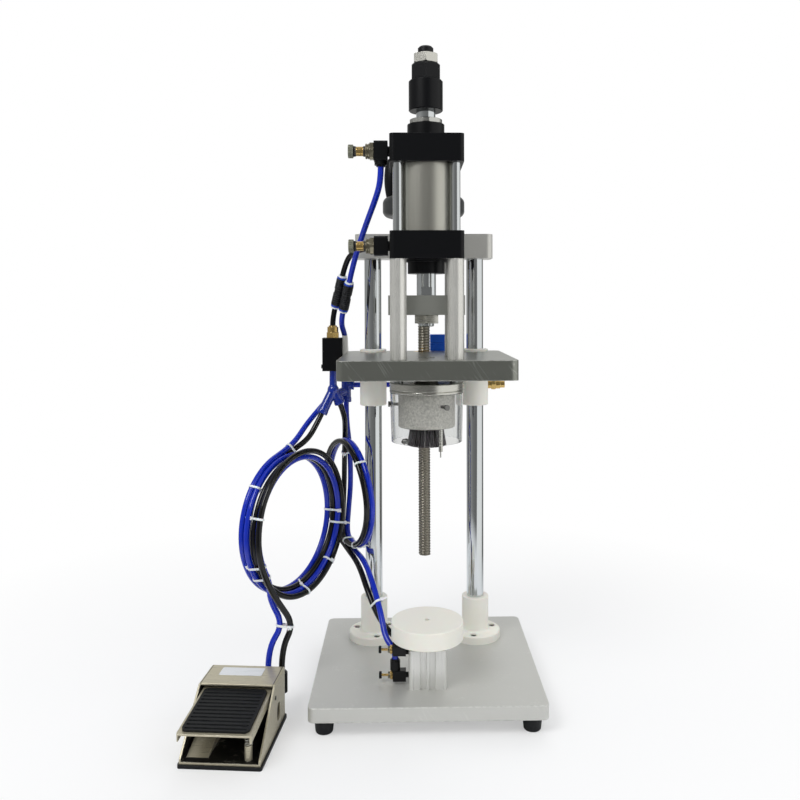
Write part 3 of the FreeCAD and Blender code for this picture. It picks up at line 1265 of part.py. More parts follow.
def pedal_spring():
    x, y = POST_PLACE
    bottom = CASE_PAD_T + POST_H
    top = pedal_top(y - SPRING_R) - PEDAL_T - SOFT_GAP
    height = top - bottom - 2 * SPRING_WIRE_R
    path = Part.makeHelix(height / SPRING_TURNS, height, SPRING_R - SPRING_WIRE_R)
    start = V(SPRING_R - SPRING_WIRE_R, 0, 0)
    wire = Part.Wire([Part.makeCircle(SPRING_WIRE_R, start, Y_AXIS)])
    coil = Part.Wire(path.Edges).makePipeShell([wire], True, True)
    return set_down(coil.translated(V(x, y, bottom + SPRING_WIRE_R)))


# Hoses. A route is a list of points, and the tube is straight runs joined by tangent arcs.

def hose(points, name):
    """Tube along a route, with each turn as round as its runs allow."""
    route = [V(*p) for p in points]
    here = route[0]
    edges = []
    radii = []
    for i in range(1, len(route) - 1):
        back = route[i - 1] - route[i]
        ahead = route[i + 1] - route[i]
        turn = math.pi - back.getAngle(ahead)
        reach = 0.45 * min(back.Length, ahead.Length)
        bend = reach / math.tan(turn / 2)
        radii.append(round(bend))
        back.normalize()
        ahead.normalize()
        start = route[i] + back * reach
        end = route[i] + ahead * reach
        middle = (back + ahead).normalize()
        mid = route[i] + middle * (bend / math.cos(turn / 2) - bend)
        edges.append(Part.LineSegment(here, start).toShape())
        edges.append(Part.Arc(start, mid, end).toShape())
        here = end
    edges.append(Part.LineSegment(here, route[-1]).toShape())
    path = Part.Wire(edges)
    disc = Part.Wire([Part.makeCircle(HOSE_R, route[0], route[1] - route[0])])
    tube = path.makePipeShell([disc], True, True)
    ratio = tube.Volume / (math.pi * HOSE_R ** 2 * path.Length)
    print(f"{name}: length {path.Length:.1f}, volume over section times length {ratio:.3f}, radii {radii}")
    return tube


def coil(spec):
    """Closed ring of a coil's outer shape, standing in an upright plane."""
    r, hr, ha = spec["mid_r"], spec["radial"] / 2, spec["axial"] / 2
    wire = Part.makePolygon([V(r - hr, 0, -ha), V(r + hr, 0, -ha), V(r + hr, 0, ha), V(r - hr, 0, ha),
                             V(r - hr, 0, -ha)])
    ring = Part.Face(wire).revolve(V(0, 0, 0), Z_AXIS, 360)
    ring = ring.makeFillet(0.6 * min(hr, ha), ring.Edges)
    ring.rotate(V(0, 0, 0), X_AXIS, 90)
    ring.rotate(V(0, 0, 0), Z_AXIS, spec["turn"])
    return ring.translated(V(*spec["centre"]))


def foot_coil():
    return coil(FOOT_COIL)


def lift_coil():
    return coil(LIFT_COIL)


def hose_routes():
    """Every free hose by node name. End runs lie on the axes of the fittings that they enter."""
    high_mouth = HIGH_VALVE_Z - VALVE_BODY_H / 2 - VALVE_COLLAR_L - COLLAR_GRIP
    low_mouth = PORT_Y + VALVE_BODY_D / 2 + VALVE_COLLAR_L + COLLAR_GRIP
    blue_top, blue_low = UNION_BLUE
    black_top, black_low = union_black()
    raise_mouth = (RAISE_VALVE["outlet_x"], RAISE_VALVE["y"] + RAISE_VALVE["reach"], BASE_TOP + RAISE_VALVE["height"])
    sink_mouth = (LOWER_VALVE["outlet_x"], LOWER_VALVE["y"],
                  BASE_TOP + LOWER_VALVE["height"] + LOWER_VALVE["reach"])
    left, right = [foot_point(x, CASE_L + FOOT_ELBOW_BACK, FOOT_ELBOW_TOP) for x in FOOT_PORT_XS]
    side_mouth = part_way(TEE_SIDE_START, TEE_SIDE_AIM, TEE_SIDE_L)
    ring_y = LIFT_COIL["centre"][1]
    return {
        "upper_head_hose": [
            [(VALVE_X, PORT_Y, high_mouth), (VALVE_X, PORT_Y, 554), (-74, 13, 534), (-87, 42, 513), (-96, 70, 490),
             onward(blue_low, blue_top, 24), blue_top],
            [blue_low, onward(blue_top, blue_low, 18), (-117, 150, 367), (TEE_X, 166.5, 355),
             (TEE_X, AIR_Y, 330), (TEE_X, AIR_Y, TEE_TOP)]],
        "lower_head_hose": [
            [(VALVE_X, low_mouth, LOW_VALVE_Z), (VALVE_X, 34, LOW_VALVE_Z), (-79, 68, 488),
             (-96, 88, 486), onward(black_low, black_top, 26), black_top],
            [black_low, UNION_BLACK_AIM, (BLOCK_X, BLOCK_MID_Y, BLOCK_TOP + BLOCK_FITTING_L)]],
        "supply_hose": [
            [(TEE_X + TEE_ARM_L, AIR_Y, AIR_LEVEL), (MANIFOLD_X - AIR_STUB_L, AIR_Y, AIR_LEVEL)]],
        "foot_hoses_upper": [
            [side_mouth, TEE_SIDE_AIM, (-158, 145, 247), (-173.5, 120, 225), (-190, 72, 206.8)],
            [FORK_LEFT, onward(FORK, FORK_LEFT, 14), (-168, 109, 225), (-180, 76, 217.4), (-193, 48, 203)]],
        "foot_hoses_lower": [
            [(-223.2, 18.7, 37.6), (-196, 15, -2), (left[0], left[1], -38), left],
            [(-214.8, 13.4, 37.6), (-183, 14, -2), (right[0], right[1], -38), right]],
        "lift_hoses_upper": [
            [FORK_RIGHT, onward(FORK, FORK_RIGHT, 20), (-121, ring_y + 17, 226), (-123, ring_y + 40, 185),
             (-123, ring_y + 45, 140), (-125, ring_y + 41, 102), (-130, ring_y + 30, 76)],
            [(TEE_X, AIR_Y, TEE_LOW), (TEE_X, AIR_Y, 238), (-116, ring_y + 40, 198), (-114, ring_y + 48, 140),
             (-117, ring_y + 44, 102), (-122, ring_y + 34, 76)]],
        "lift_hoses_lower": [
            [(-105.2, ring_y + 1.7, 59.5), (-87, ring_y - 43, 46), (-73, 66, 24), (-61, 30, -4), (-55, 8, -27),
             (sink_mouth[0], sink_mouth[1], -38), sink_mouth],
            [(-112.8, ring_y - 1.7, 59.5), (-95, ring_y - 47, 42), (-81, 64, 16), (-66, 44, -12),
             (-48, 32, raise_mouth[2]), (raise_mouth[0], 14, raise_mouth[2]), raise_mouth]]}


def main():
    os.makedirs("parts", exist_ok=True)
    nodes = [
        ("base_plate", base_plate), ("rubber_feet", rubber_feet), ("columns", columns),
        ("column_sockets", column_sockets), ("frame_screws", frame_screws), ("top_beam", top_beam),
        ("beam_bushing", beam_bushing), ("lead_screw", lead_screw), ("handwheel", handwheel),
        ("handwheel_handle", handwheel_handle), ("head_plate", head_plate), ("plate_screws", plate_screws),
        ("guide_bushes", guide_bushes), ("lead_nut", lead_nut), ("standoffs", standoffs),
        ("lower_cap", lower_cap), ("upper_cap", upper_cap), ("cylinder_tube", cylinder_tube),
        ("tie_rods", tie_rods), ("piston_rod", piston_rod), ("stroke_adjuster", stroke_adjuster),
        ("rod_nuts", rod_nuts), ("crossbar", crossbar), ("push_pins", push_pins), ("head_ring", head_ring),
        ("closing_bell", closing_bell), ("guard_cup", guard_cup), ("guard_screws", guard_screws),
        ("gauge_pin", gauge_pin), ("collet", collet), ("collet_stem", collet_stem),
        ("lift_cylinder", lift_cylinder), ("lift_rod", lift_rod), ("support_disc", support_disc),
        ("main_valves", main_valves), ("lift_valves", lift_valves), ("air_manifold", air_manifold),
        ("air_fittings", air_fittings), ("valve_bracket", valve_bracket), ("valve_block", valve_block),
        ("hose_fittings", hose_fittings), ("foot_case", foot_case),
        ("foot_pad", foot_pad), ("foot_valve", foot_valve), ("pedal", pedal),
        ("pedal_tread", pedal_tread), ("pedal_spring", pedal_spring), ("foot_coil", foot_coil),
        ("lift_coil", lift_coil)]
    for name, build in nodes:
        save(name, build())
    save("upper_needle", main_needle(HIGH_VALVE_Z))
    save("lower_needle", main_needle(LOW_VALVE_Z))
    save("raise_needle", lift_needle(RAISE_VALVE))
    save("sink_needle", lift_needle(LOWER_VALVE))
    for name, routes in hose_routes().items():
        save(name, Part.makeCompound([hose(route, name) for route in routes]))


main()
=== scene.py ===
"""Looks of the pneumatic capping machine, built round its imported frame. Metres, Z up.

Hoses, fittings and turned pieces are written in millimetres, as in the part's source.
"""
import bpy
import bmesh
import json
import math
from mathutils import Matrix, Vector

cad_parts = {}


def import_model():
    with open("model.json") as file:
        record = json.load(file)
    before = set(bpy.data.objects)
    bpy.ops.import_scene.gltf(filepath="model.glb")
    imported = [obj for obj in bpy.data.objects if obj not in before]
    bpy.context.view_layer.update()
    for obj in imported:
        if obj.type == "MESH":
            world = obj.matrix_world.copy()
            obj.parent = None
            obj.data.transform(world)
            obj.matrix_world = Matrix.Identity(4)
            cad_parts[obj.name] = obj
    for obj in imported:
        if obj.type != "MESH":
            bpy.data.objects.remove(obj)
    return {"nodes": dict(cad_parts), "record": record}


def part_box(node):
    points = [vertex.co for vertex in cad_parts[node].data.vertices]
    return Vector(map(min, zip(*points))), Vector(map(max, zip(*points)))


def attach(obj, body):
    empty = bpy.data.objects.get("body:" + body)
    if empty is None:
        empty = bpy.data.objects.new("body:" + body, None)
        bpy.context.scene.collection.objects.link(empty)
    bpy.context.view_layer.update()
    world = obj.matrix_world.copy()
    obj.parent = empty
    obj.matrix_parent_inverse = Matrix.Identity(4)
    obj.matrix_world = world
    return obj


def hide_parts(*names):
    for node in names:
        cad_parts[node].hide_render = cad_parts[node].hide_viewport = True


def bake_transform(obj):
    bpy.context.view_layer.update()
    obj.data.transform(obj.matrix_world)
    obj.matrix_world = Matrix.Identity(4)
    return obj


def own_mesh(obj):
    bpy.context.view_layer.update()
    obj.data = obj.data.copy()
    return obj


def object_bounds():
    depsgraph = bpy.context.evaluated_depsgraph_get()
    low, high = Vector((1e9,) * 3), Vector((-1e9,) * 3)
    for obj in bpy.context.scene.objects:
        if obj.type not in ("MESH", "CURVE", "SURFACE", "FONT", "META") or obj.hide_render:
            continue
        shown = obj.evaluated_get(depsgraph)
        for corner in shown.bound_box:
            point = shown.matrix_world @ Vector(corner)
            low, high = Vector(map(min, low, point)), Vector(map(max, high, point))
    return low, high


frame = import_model()
CAD_BOX = [list(corner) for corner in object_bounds()]
NODES = frame["nodes"]
SUBPARTS = {row["node"]: row["material_slot"] for row in frame["record"]["subparts"]}
MM = 0.001
FLOOR_Z = CAD_BOX[0][2]
SHARP_EDGE = math.radians(35)


def linked(name, data):
    """Object with this data, placed in the scene."""
    made = bpy.data.objects.new(name, data)
    bpy.context.scene.collection.objects.link(made)
    return made


def piece_from(bm, name, finishes):
    """Object from a finished bmesh, smooth but for its sharp edges."""
    bmesh.ops.recalc_face_normals(bm, faces=bm.faces)
    mesh = bpy.data.meshes.new(name)
    bm.to_mesh(mesh)
    bm.free()
    for item in finishes:
        mesh.materials.append(item)
    for face in mesh.polygons:
        face.use_smooth = True
    mesh.set_sharp_from_angle(angle=SHARP_EDGE)
    return linked(name, mesh)


def mesh_of(bar):
    """Mesh of a curve object, which is then removed."""
    bpy.context.view_layer.update()
    mesh = bpy.data.meshes.new_from_object(bar)
    bpy.data.objects.remove(bar)
    return mesh


def smooth_piece(name, bar, colour):
    """Smooth mesh piece made from a curve object, for a hose or spring."""
    mesh = mesh_of(bar)
    mesh.name = name
    mesh.materials.clear()
    mesh.materials.append(FINISHES[colour])
    for face in mesh.polygons:
        face.use_smooth = True
    return linked(name, mesh)


# Camera, as the photograph was taken

CAMERA_PLACE = (-0.0263, -1.0329, 0.4082)
CAMERA_YAW = 0.021
CAMERA_PITCH = 0.019
CAMERA_ROLL = 0.003
LENS, SENSOR = 35.91, 36.0
SHIFT = (-0.0285, -0.0978)


def add_camera():
    data = bpy.data.cameras.new("camera")
    data.lens = LENS
    data.sensor_width = SENSOR
    data.shift_x, data.shift_y = SHIFT
    data.clip_start = 0.02
    camera = linked("camera", data)
    camera.location = CAMERA_PLACE
    camera.rotation_euler = (math.pi / 2 - CAMERA_PITCH, CAMERA_ROLL, -CAMERA_YAW)
    bpy.context.scene.camera = camera


# Shader node groups. Each puts out only colours, masks, values or normals.

NOISE_LOW, NOISE_HIGH = 0.3, 0.7   # nearly all of a noise lies between these
HAIR_STRETCH, HAIR_WIDTH = (130, 130, 9), 0.03
# Cosine bounds of the edge mask, which paints both wear and highlight on the edges.
EDGE_WEAR_HIGHLIGHT_STARTS, EDGE_WEAR_HIGHLIGHT_FULL = 0.995, 0.86   # cosine between the softened normal and the flat one
BACK_WALL = 0.75
WALL_BLUE = 0.98   # the walls are slightly warm
# Compass angle in degrees, 0 towards the camera and 90 to its right, and the wall's grey there
STUDIO_WALLS = ((-156, BACK_WALL), (-146, 0.30), (-70, 0.34), (-30, 0.20), (26, 0.15), (34, 0.95),
                (108, 0.95), (116, 0.16), (146, 0.16), (156, BACK_WALL))


def new_group(name, inputs, outputs):
    """Empty node group with named sockets, and its input and output nodes."""
    group = bpy.data.node_groups.new(name, "ShaderNodeTree")
    for label, kind, value in inputs:
        socket = group.interface.new_socket(label, in_out="INPUT", socket_type="NodeSocket" + kind)
        socket.default_value = value
    for label, kind in outputs:
        group.interface.new_socket(label, in_out="OUTPUT", socket_type="NodeSocket" + kind)
    return group, group.nodes.new("NodeGroupInput"), group.nodes.new("NodeGroupOutput")


def node(tree, kind, links=None, **values):
    """Adds a shader node, sets its properties and wires its inputs."""
    made = tree.nodes.new("ShaderNode" + kind)
    for key, value in values.items():
        setattr(made, key, value)
    for socket, source in (links or {}).items():
        if isinstance(source, bpy.types.NodeSocket):
            tree.links.new(source, made.inputs[socket])
        else:
            made.inputs[socket].default_value = source
    return made


def maths(tree, operation, first, second=0.0):
    return node(tree, "Math", {0: first, 1: second}, operation=operation).outputs[0]


def ramp(tree, source, low, high):
    """0 where source is at low, 1 where it is at high, and in proportion between them."""
    return node(tree, "MapRange", {"Value": source, "From Min": low, "From Max": high}).outputs["Result"]


def surface_place(tree):
    return node(tree, "TexCoord").outputs["Object"]


def stretched(tree, scale):
    """Object coordinates scaled by a vector input."""
    return node(tree, "VectorMath", {0: surface_place(tree), 1: scale}, operation="MULTIPLY").outputs[0]


def brushed_group():
    """Fine parallel lines, as grinding or turning leaves them, and slow patches."""
    group, given, out = new_group("brushed lines", [("Stretch", "Vector", (40, 40, 1600))],
                                  [("Lines", "Float"), ("Patches", "Float")])
    place = stretched(group, given.outputs["Stretch"])
    lines = node(group, "TexNoise", {"Vector": place, "Scale": 1.0, "Detail": 3.0, "Roughness": 0.6})
    patches = node(group, "TexNoise", {"Vector": surface_place(group), "Scale": 14.0, "Detail": 2.0})
    group.links.new(lines.outputs["Fac"], out.inputs["Lines"])
    group.links.new(patches.outputs["Fac"], out.inputs["Patches"])
    return group


def grain_group():
    """Fine surface grain and slow cloudy tone."""
    group, given, out = new_group("grain", [("Size", "Float", 2200.0), ("Cloud", "Float", 14.0)],
                                  [("Lines", "Float"), ("Patches", "Float")])
    place = surface_place(group)
    fine = node(group, "TexNoise", {"Vector": place, "Scale": given.outputs["Size"], "Detail": 2.0})
    cloud = node(group, "TexNoise", {"Vector": place, "Scale": given.outputs["Cloud"], "Detail": 3.0})
    group.links.new(fine.outputs["Fac"], out.inputs["Lines"])
    group.links.new(cloud.outputs["Fac"], out.inputs["Patches"])
    return group


def scratch_group():
    """Thin hair scratches that run one way, broken up into short lengths."""
    group, given, out = new_group("hair scratches",
                                  [("Turn", "Vector", (0.0, 0.6, 0.4)), ("Amount", "Float", 0.3)],
                                  [("Mask", "Float")])
    aimed = node(group, "VectorRotate", {"Vector": surface_place(group), "Rotation": given.outputs["Turn"]},
                 rotation_type="EULER_XYZ").outputs[0]
    place = node(group, "VectorMath", {0: aimed, 1: HAIR_STRETCH}, operation="MULTIPLY").outputs[0]
    field = node(group, "TexNoise", {"Vector": place, "Scale": 1.0, "Detail": 1.0}).outputs["Fac"]
    line = ramp(group, maths(group, "ABSOLUTE", maths(group, "SUBTRACT", field, 0.5)), HAIR_WIDTH, 0.0)
    broken = node(group, "TexNoise", {"Vector": surface_place(group), "Scale": 38.0, "Detail": 2.0})
    mask = maths(group, "MULTIPLY", line, ramp(group, broken.outputs["Fac"], 0.52, 0.64))
    group.links.new(maths(group, "MULTIPLY", mask, given.outputs["Amount"]), out.inputs["Mask"])
    return group


def edge_group():
    """Softened edges: their bent normal, and a mask along them for worn metal and painted edge highlight."""
    group, given, out = new_group("rubbed edges", [("Radius", "Float", 0.0008), ("Amount", "Float", 0.5)],
                                  [("Normal", "Vector"), ("Mask", "Float")])
    bent = node(group, "Bevel", {"Radius": given.outputs["Radius"]}, samples=4).outputs[0]
    flat = node(group, "NewGeometry").outputs["Normal"]
    same = node(group, "VectorMath", {0: bent, 1: flat}, operation="DOT_PRODUCT").outputs["Value"]
    wear_and_highlight = ramp(group, same, EDGE_WEAR_HIGHLIGHT_STARTS, EDGE_WEAR_HIGHLIGHT_FULL)
    broken = node(group, "TexNoise", {"Vector": surface_place(group), "Scale": 210.0, "Detail": 2.0})
    wear_and_highlight = maths(group, "MULTIPLY", wear_and_highlight, ramp(group, broken.outputs["Fac"], 0.3, 0.55))
    group.links.new(bent, out.inputs["Normal"])
    group.links.new(maths(group, "MULTIPLY", wear_and_highlight, given.outputs["Amount"]), out.inputs["Mask"])
    return group


def surround_group():
    """Studio walls by compass angle: white to the right, pale straight behind, dark elsewhere."""
    group, given, out = new_group("studio surround", [("Place", "Vector", (0, 0, 0))], [("Grey", "Color")])
    parts = node(group, "SeparateXYZ", {0: given.outputs["Place"]}).outputs
    away = maths(group, "MULTIPLY", parts[1], -1.0)
    angle = node(group, "Math", {0: parts[0], 1: away}, operation="ARCTAN2").outputs[0]
    walls = node(group, "ValToRGB", {"Fac": ramp(group, angle, -math.pi, math.pi)})
    stops = walls.color_ramp.elements
    while len(stops) > 1:
        stops.remove(stops[-1])
    stops[0].position = 0.0
    stops[0].color = (BACK_WALL, BACK_WALL, BACK_WALL, 1)
    for degrees, grey in STUDIO_WALLS:
        stops.new((degrees + 180) / 360).color = (grey, grey, grey * WALL_BLUE, 1)
    group.links.new(walls.outputs["Color"], out.inputs["Grey"])
    return group


BRUSHED = brushed_group()
GRAIN = grain_group()
SCRATCHED = scratch_group()
EDGES = edge_group()
SURROUND = surround_group()


def placed(tree, group, **values):
    """Places a node group with its own values."""
    made = tree.nodes.new("ShaderNodeGroup")
    made.node_tree = group
    for label, value in values.items():
        made.inputs[label].default_value = value
    return made


def mixed(tree, factor, first, second):
    return node(tree, "Mix", {"Factor": factor, 6: first, 7: second}, data_type="RGBA").outputs[2]


# Second finishes on one node: past a level, or painted shade inside the foot valve's case. In metres.

FOOT_ORIGIN, FOOT_TURN = (-0.241, -0.1275, -0.119), math.radians(-5)
CASE_INNER, CASE_FLOOR = 0.045, -0.112   # the inner walls' distance from the middle, the floor's height
CASE_SKIN = 0.0004   # how near to them a surface counts as theirs


def beyond(tree, axis, level):
    """Mask of the surface past a level along one of the object's axes."""
    parts = node(tree, "SeparateXYZ", {0: surface_place(tree)}).outputs
    return maths(tree, "GREATER_THAN", parts["XYZ".index(axis)], level)


def painted_shade_in_foot_case(tree):
    """Mask of the foot valve's floor and inner walls, where a dark colour paints the shade inside the case.
    """
    square = node(tree, "VectorRotate",
                  {"Vector": surface_place(tree), "Center": FOOT_ORIGIN, "Angle": -FOOT_TURN},
                  rotation_type="Z_AXIS").outputs[0]
    parts = node(tree, "SeparateXYZ", {0: square}).outputs
    across = maths(tree, "ABSOLUTE", maths(tree, "SUBTRACT", parts[0], FOOT_ORIGIN[0]))
    within = maths(tree, "LESS_THAN", across, CASE_INNER + CASE_SKIN)
    above = maths(tree, "GREATER_THAN", parts[2], CASE_FLOOR - CASE_SKIN)
    floor = maths(tree, "LESS_THAN", parts[2], CASE_FLOOR + CASE_SKIN)
    wall = maths(tree, "MAXIMUM", maths(tree, "GREATER_THAN", across, CASE_INNER - CASE_SKIN), floor)
    return maths(tree, "MULTIPLY", maths(tree, "MULTIPLY", within, above), wall)


# Finishes

def srgb(r, g, b):
    """Linear colour of an 8 bit screen colour."""
    return tuple(((c / 255 + 0.055) / 1.055) ** 2.4 if c > 10 else c / 255 / 12.92 for c in (r, g, b))


def shade(colour, factor):
    """Colour made lighter or darker, with its alpha."""
    return tuple(min(1, c * factor) for c in colour) + (1,)


def lightened_wear_and_highlight(colour):
    """Colour of scratches, and of edges with wear and painted highlight, where a finish gives none."""
    return [min(1, c * 1.25 + 0.03) for c in colour]


def finish(name, colour, wear_highlight_colour=None, roughness=0.4, metallic=0.0, lines=None, depth=0.0, tone=0.03,
           patches=0.03, grain=2200.0, edge=0.4, edge_radius=0.0008, scratches=0.0,
           scratch_turn=(0.0, 0.6, 0.4), coat=0.0, coat_roughness=0.12, ior=1.5, transmission=0.0,
           subsurface=0.0, rough_spread=0.08, end=None):
    """One surface finish: base colour with tone, wear and painted highlight on its edges, lines or grain in
    its relief.

    The lighter edge colour is given for scratches and edges; on the edges it paints both wear and highlight.
    end gives a second colour, roughness and metal share past a level, or a dark colour of painted shade
    inside the foot valve's case.
    """
    material = bpy.data.materials.new(name)
    material.use_nodes = True
    tree = material.node_tree
    shader = tree.nodes["Principled BSDF"]
    for label, value in (("Metallic", metallic), ("IOR", ior), ("Coat Weight", coat),
                         ("Coat Roughness", coat_roughness), ("Transmission Weight", transmission),
                         ("Subsurface Weight", subsurface), ("Subsurface Scale", 0.004)):
        shader.inputs[label].default_value = value
    relief = placed(tree, BRUSHED, Stretch=lines) if lines else placed(tree, GRAIN, Size=grain)
    fine, slow = relief.outputs["Lines"], relief.outputs["Patches"]
    base = mixed(tree, slow, shade(colour, 1 - patches), shade(colour, 1 + patches))
    fine_tone = mixed(tree, ramp(tree, fine, NOISE_LOW, NOISE_HIGH), shade(colour, 1 - tone),
                      shade(colour, 1 + tone))
    base = mixed(tree, 0.5, base, fine_tone)
    rough = node(tree, "MapRange", {"Value": fine, "From Min": NOISE_LOW, "From Max": NOISE_HIGH,
                                    "To Min": max(0.02, roughness - rough_spread / 2),
                                    "To Max": min(1.0, roughness + rough_spread / 2)}).outputs["Result"]
    if end:
        if end["axis"] == "inside":
            past = painted_shade_in_foot_case(tree)
        else:
            past = beyond(tree, end["axis"], end["level"])
        base = mixed(tree, past, base, shade(end["colour"], 1))
        rough = node(tree, "Mix", {"Factor": past, 2: rough, 3: end["roughness"]}).outputs[0]
        metal = node(tree, "Mix", {"Factor": past, 2: metallic, 3: end["metallic"]}).outputs[0]
        tree.links.new(metal, shader.inputs["Metallic"])
    # Lighter colour along the edges: partly wear, partly painted highlight where the edges catch light.
    edges = placed(tree, EDGES, Radius=edge_radius, Amount=edge)
    wear_and_highlight = shade(wear_highlight_colour or lightened_wear_and_highlight(colour), 1)
    base = mixed(tree, edges.outputs["Mask"], base, wear_and_highlight)
    if scratches:
        hair = placed(tree, SCRATCHED, Turn=scratch_turn, Amount=scratches)
        base = mixed(tree, hair.outputs["Mask"], base, wear_and_highlight)
    tree.links.new(base, shader.inputs["Base Color"])
    tree.links.new(rough, shader.inputs["Roughness"])
    normal = edges.outputs["Normal"]
    if depth:
        normal = node(tree, "Bump", {"Height": fine, "Strength": depth, "Distance": 0.0001,
                                     "Normal": normal}).outputs["Normal"]
    tree.links.new(normal, shader.inputs["Normal"])
    return material


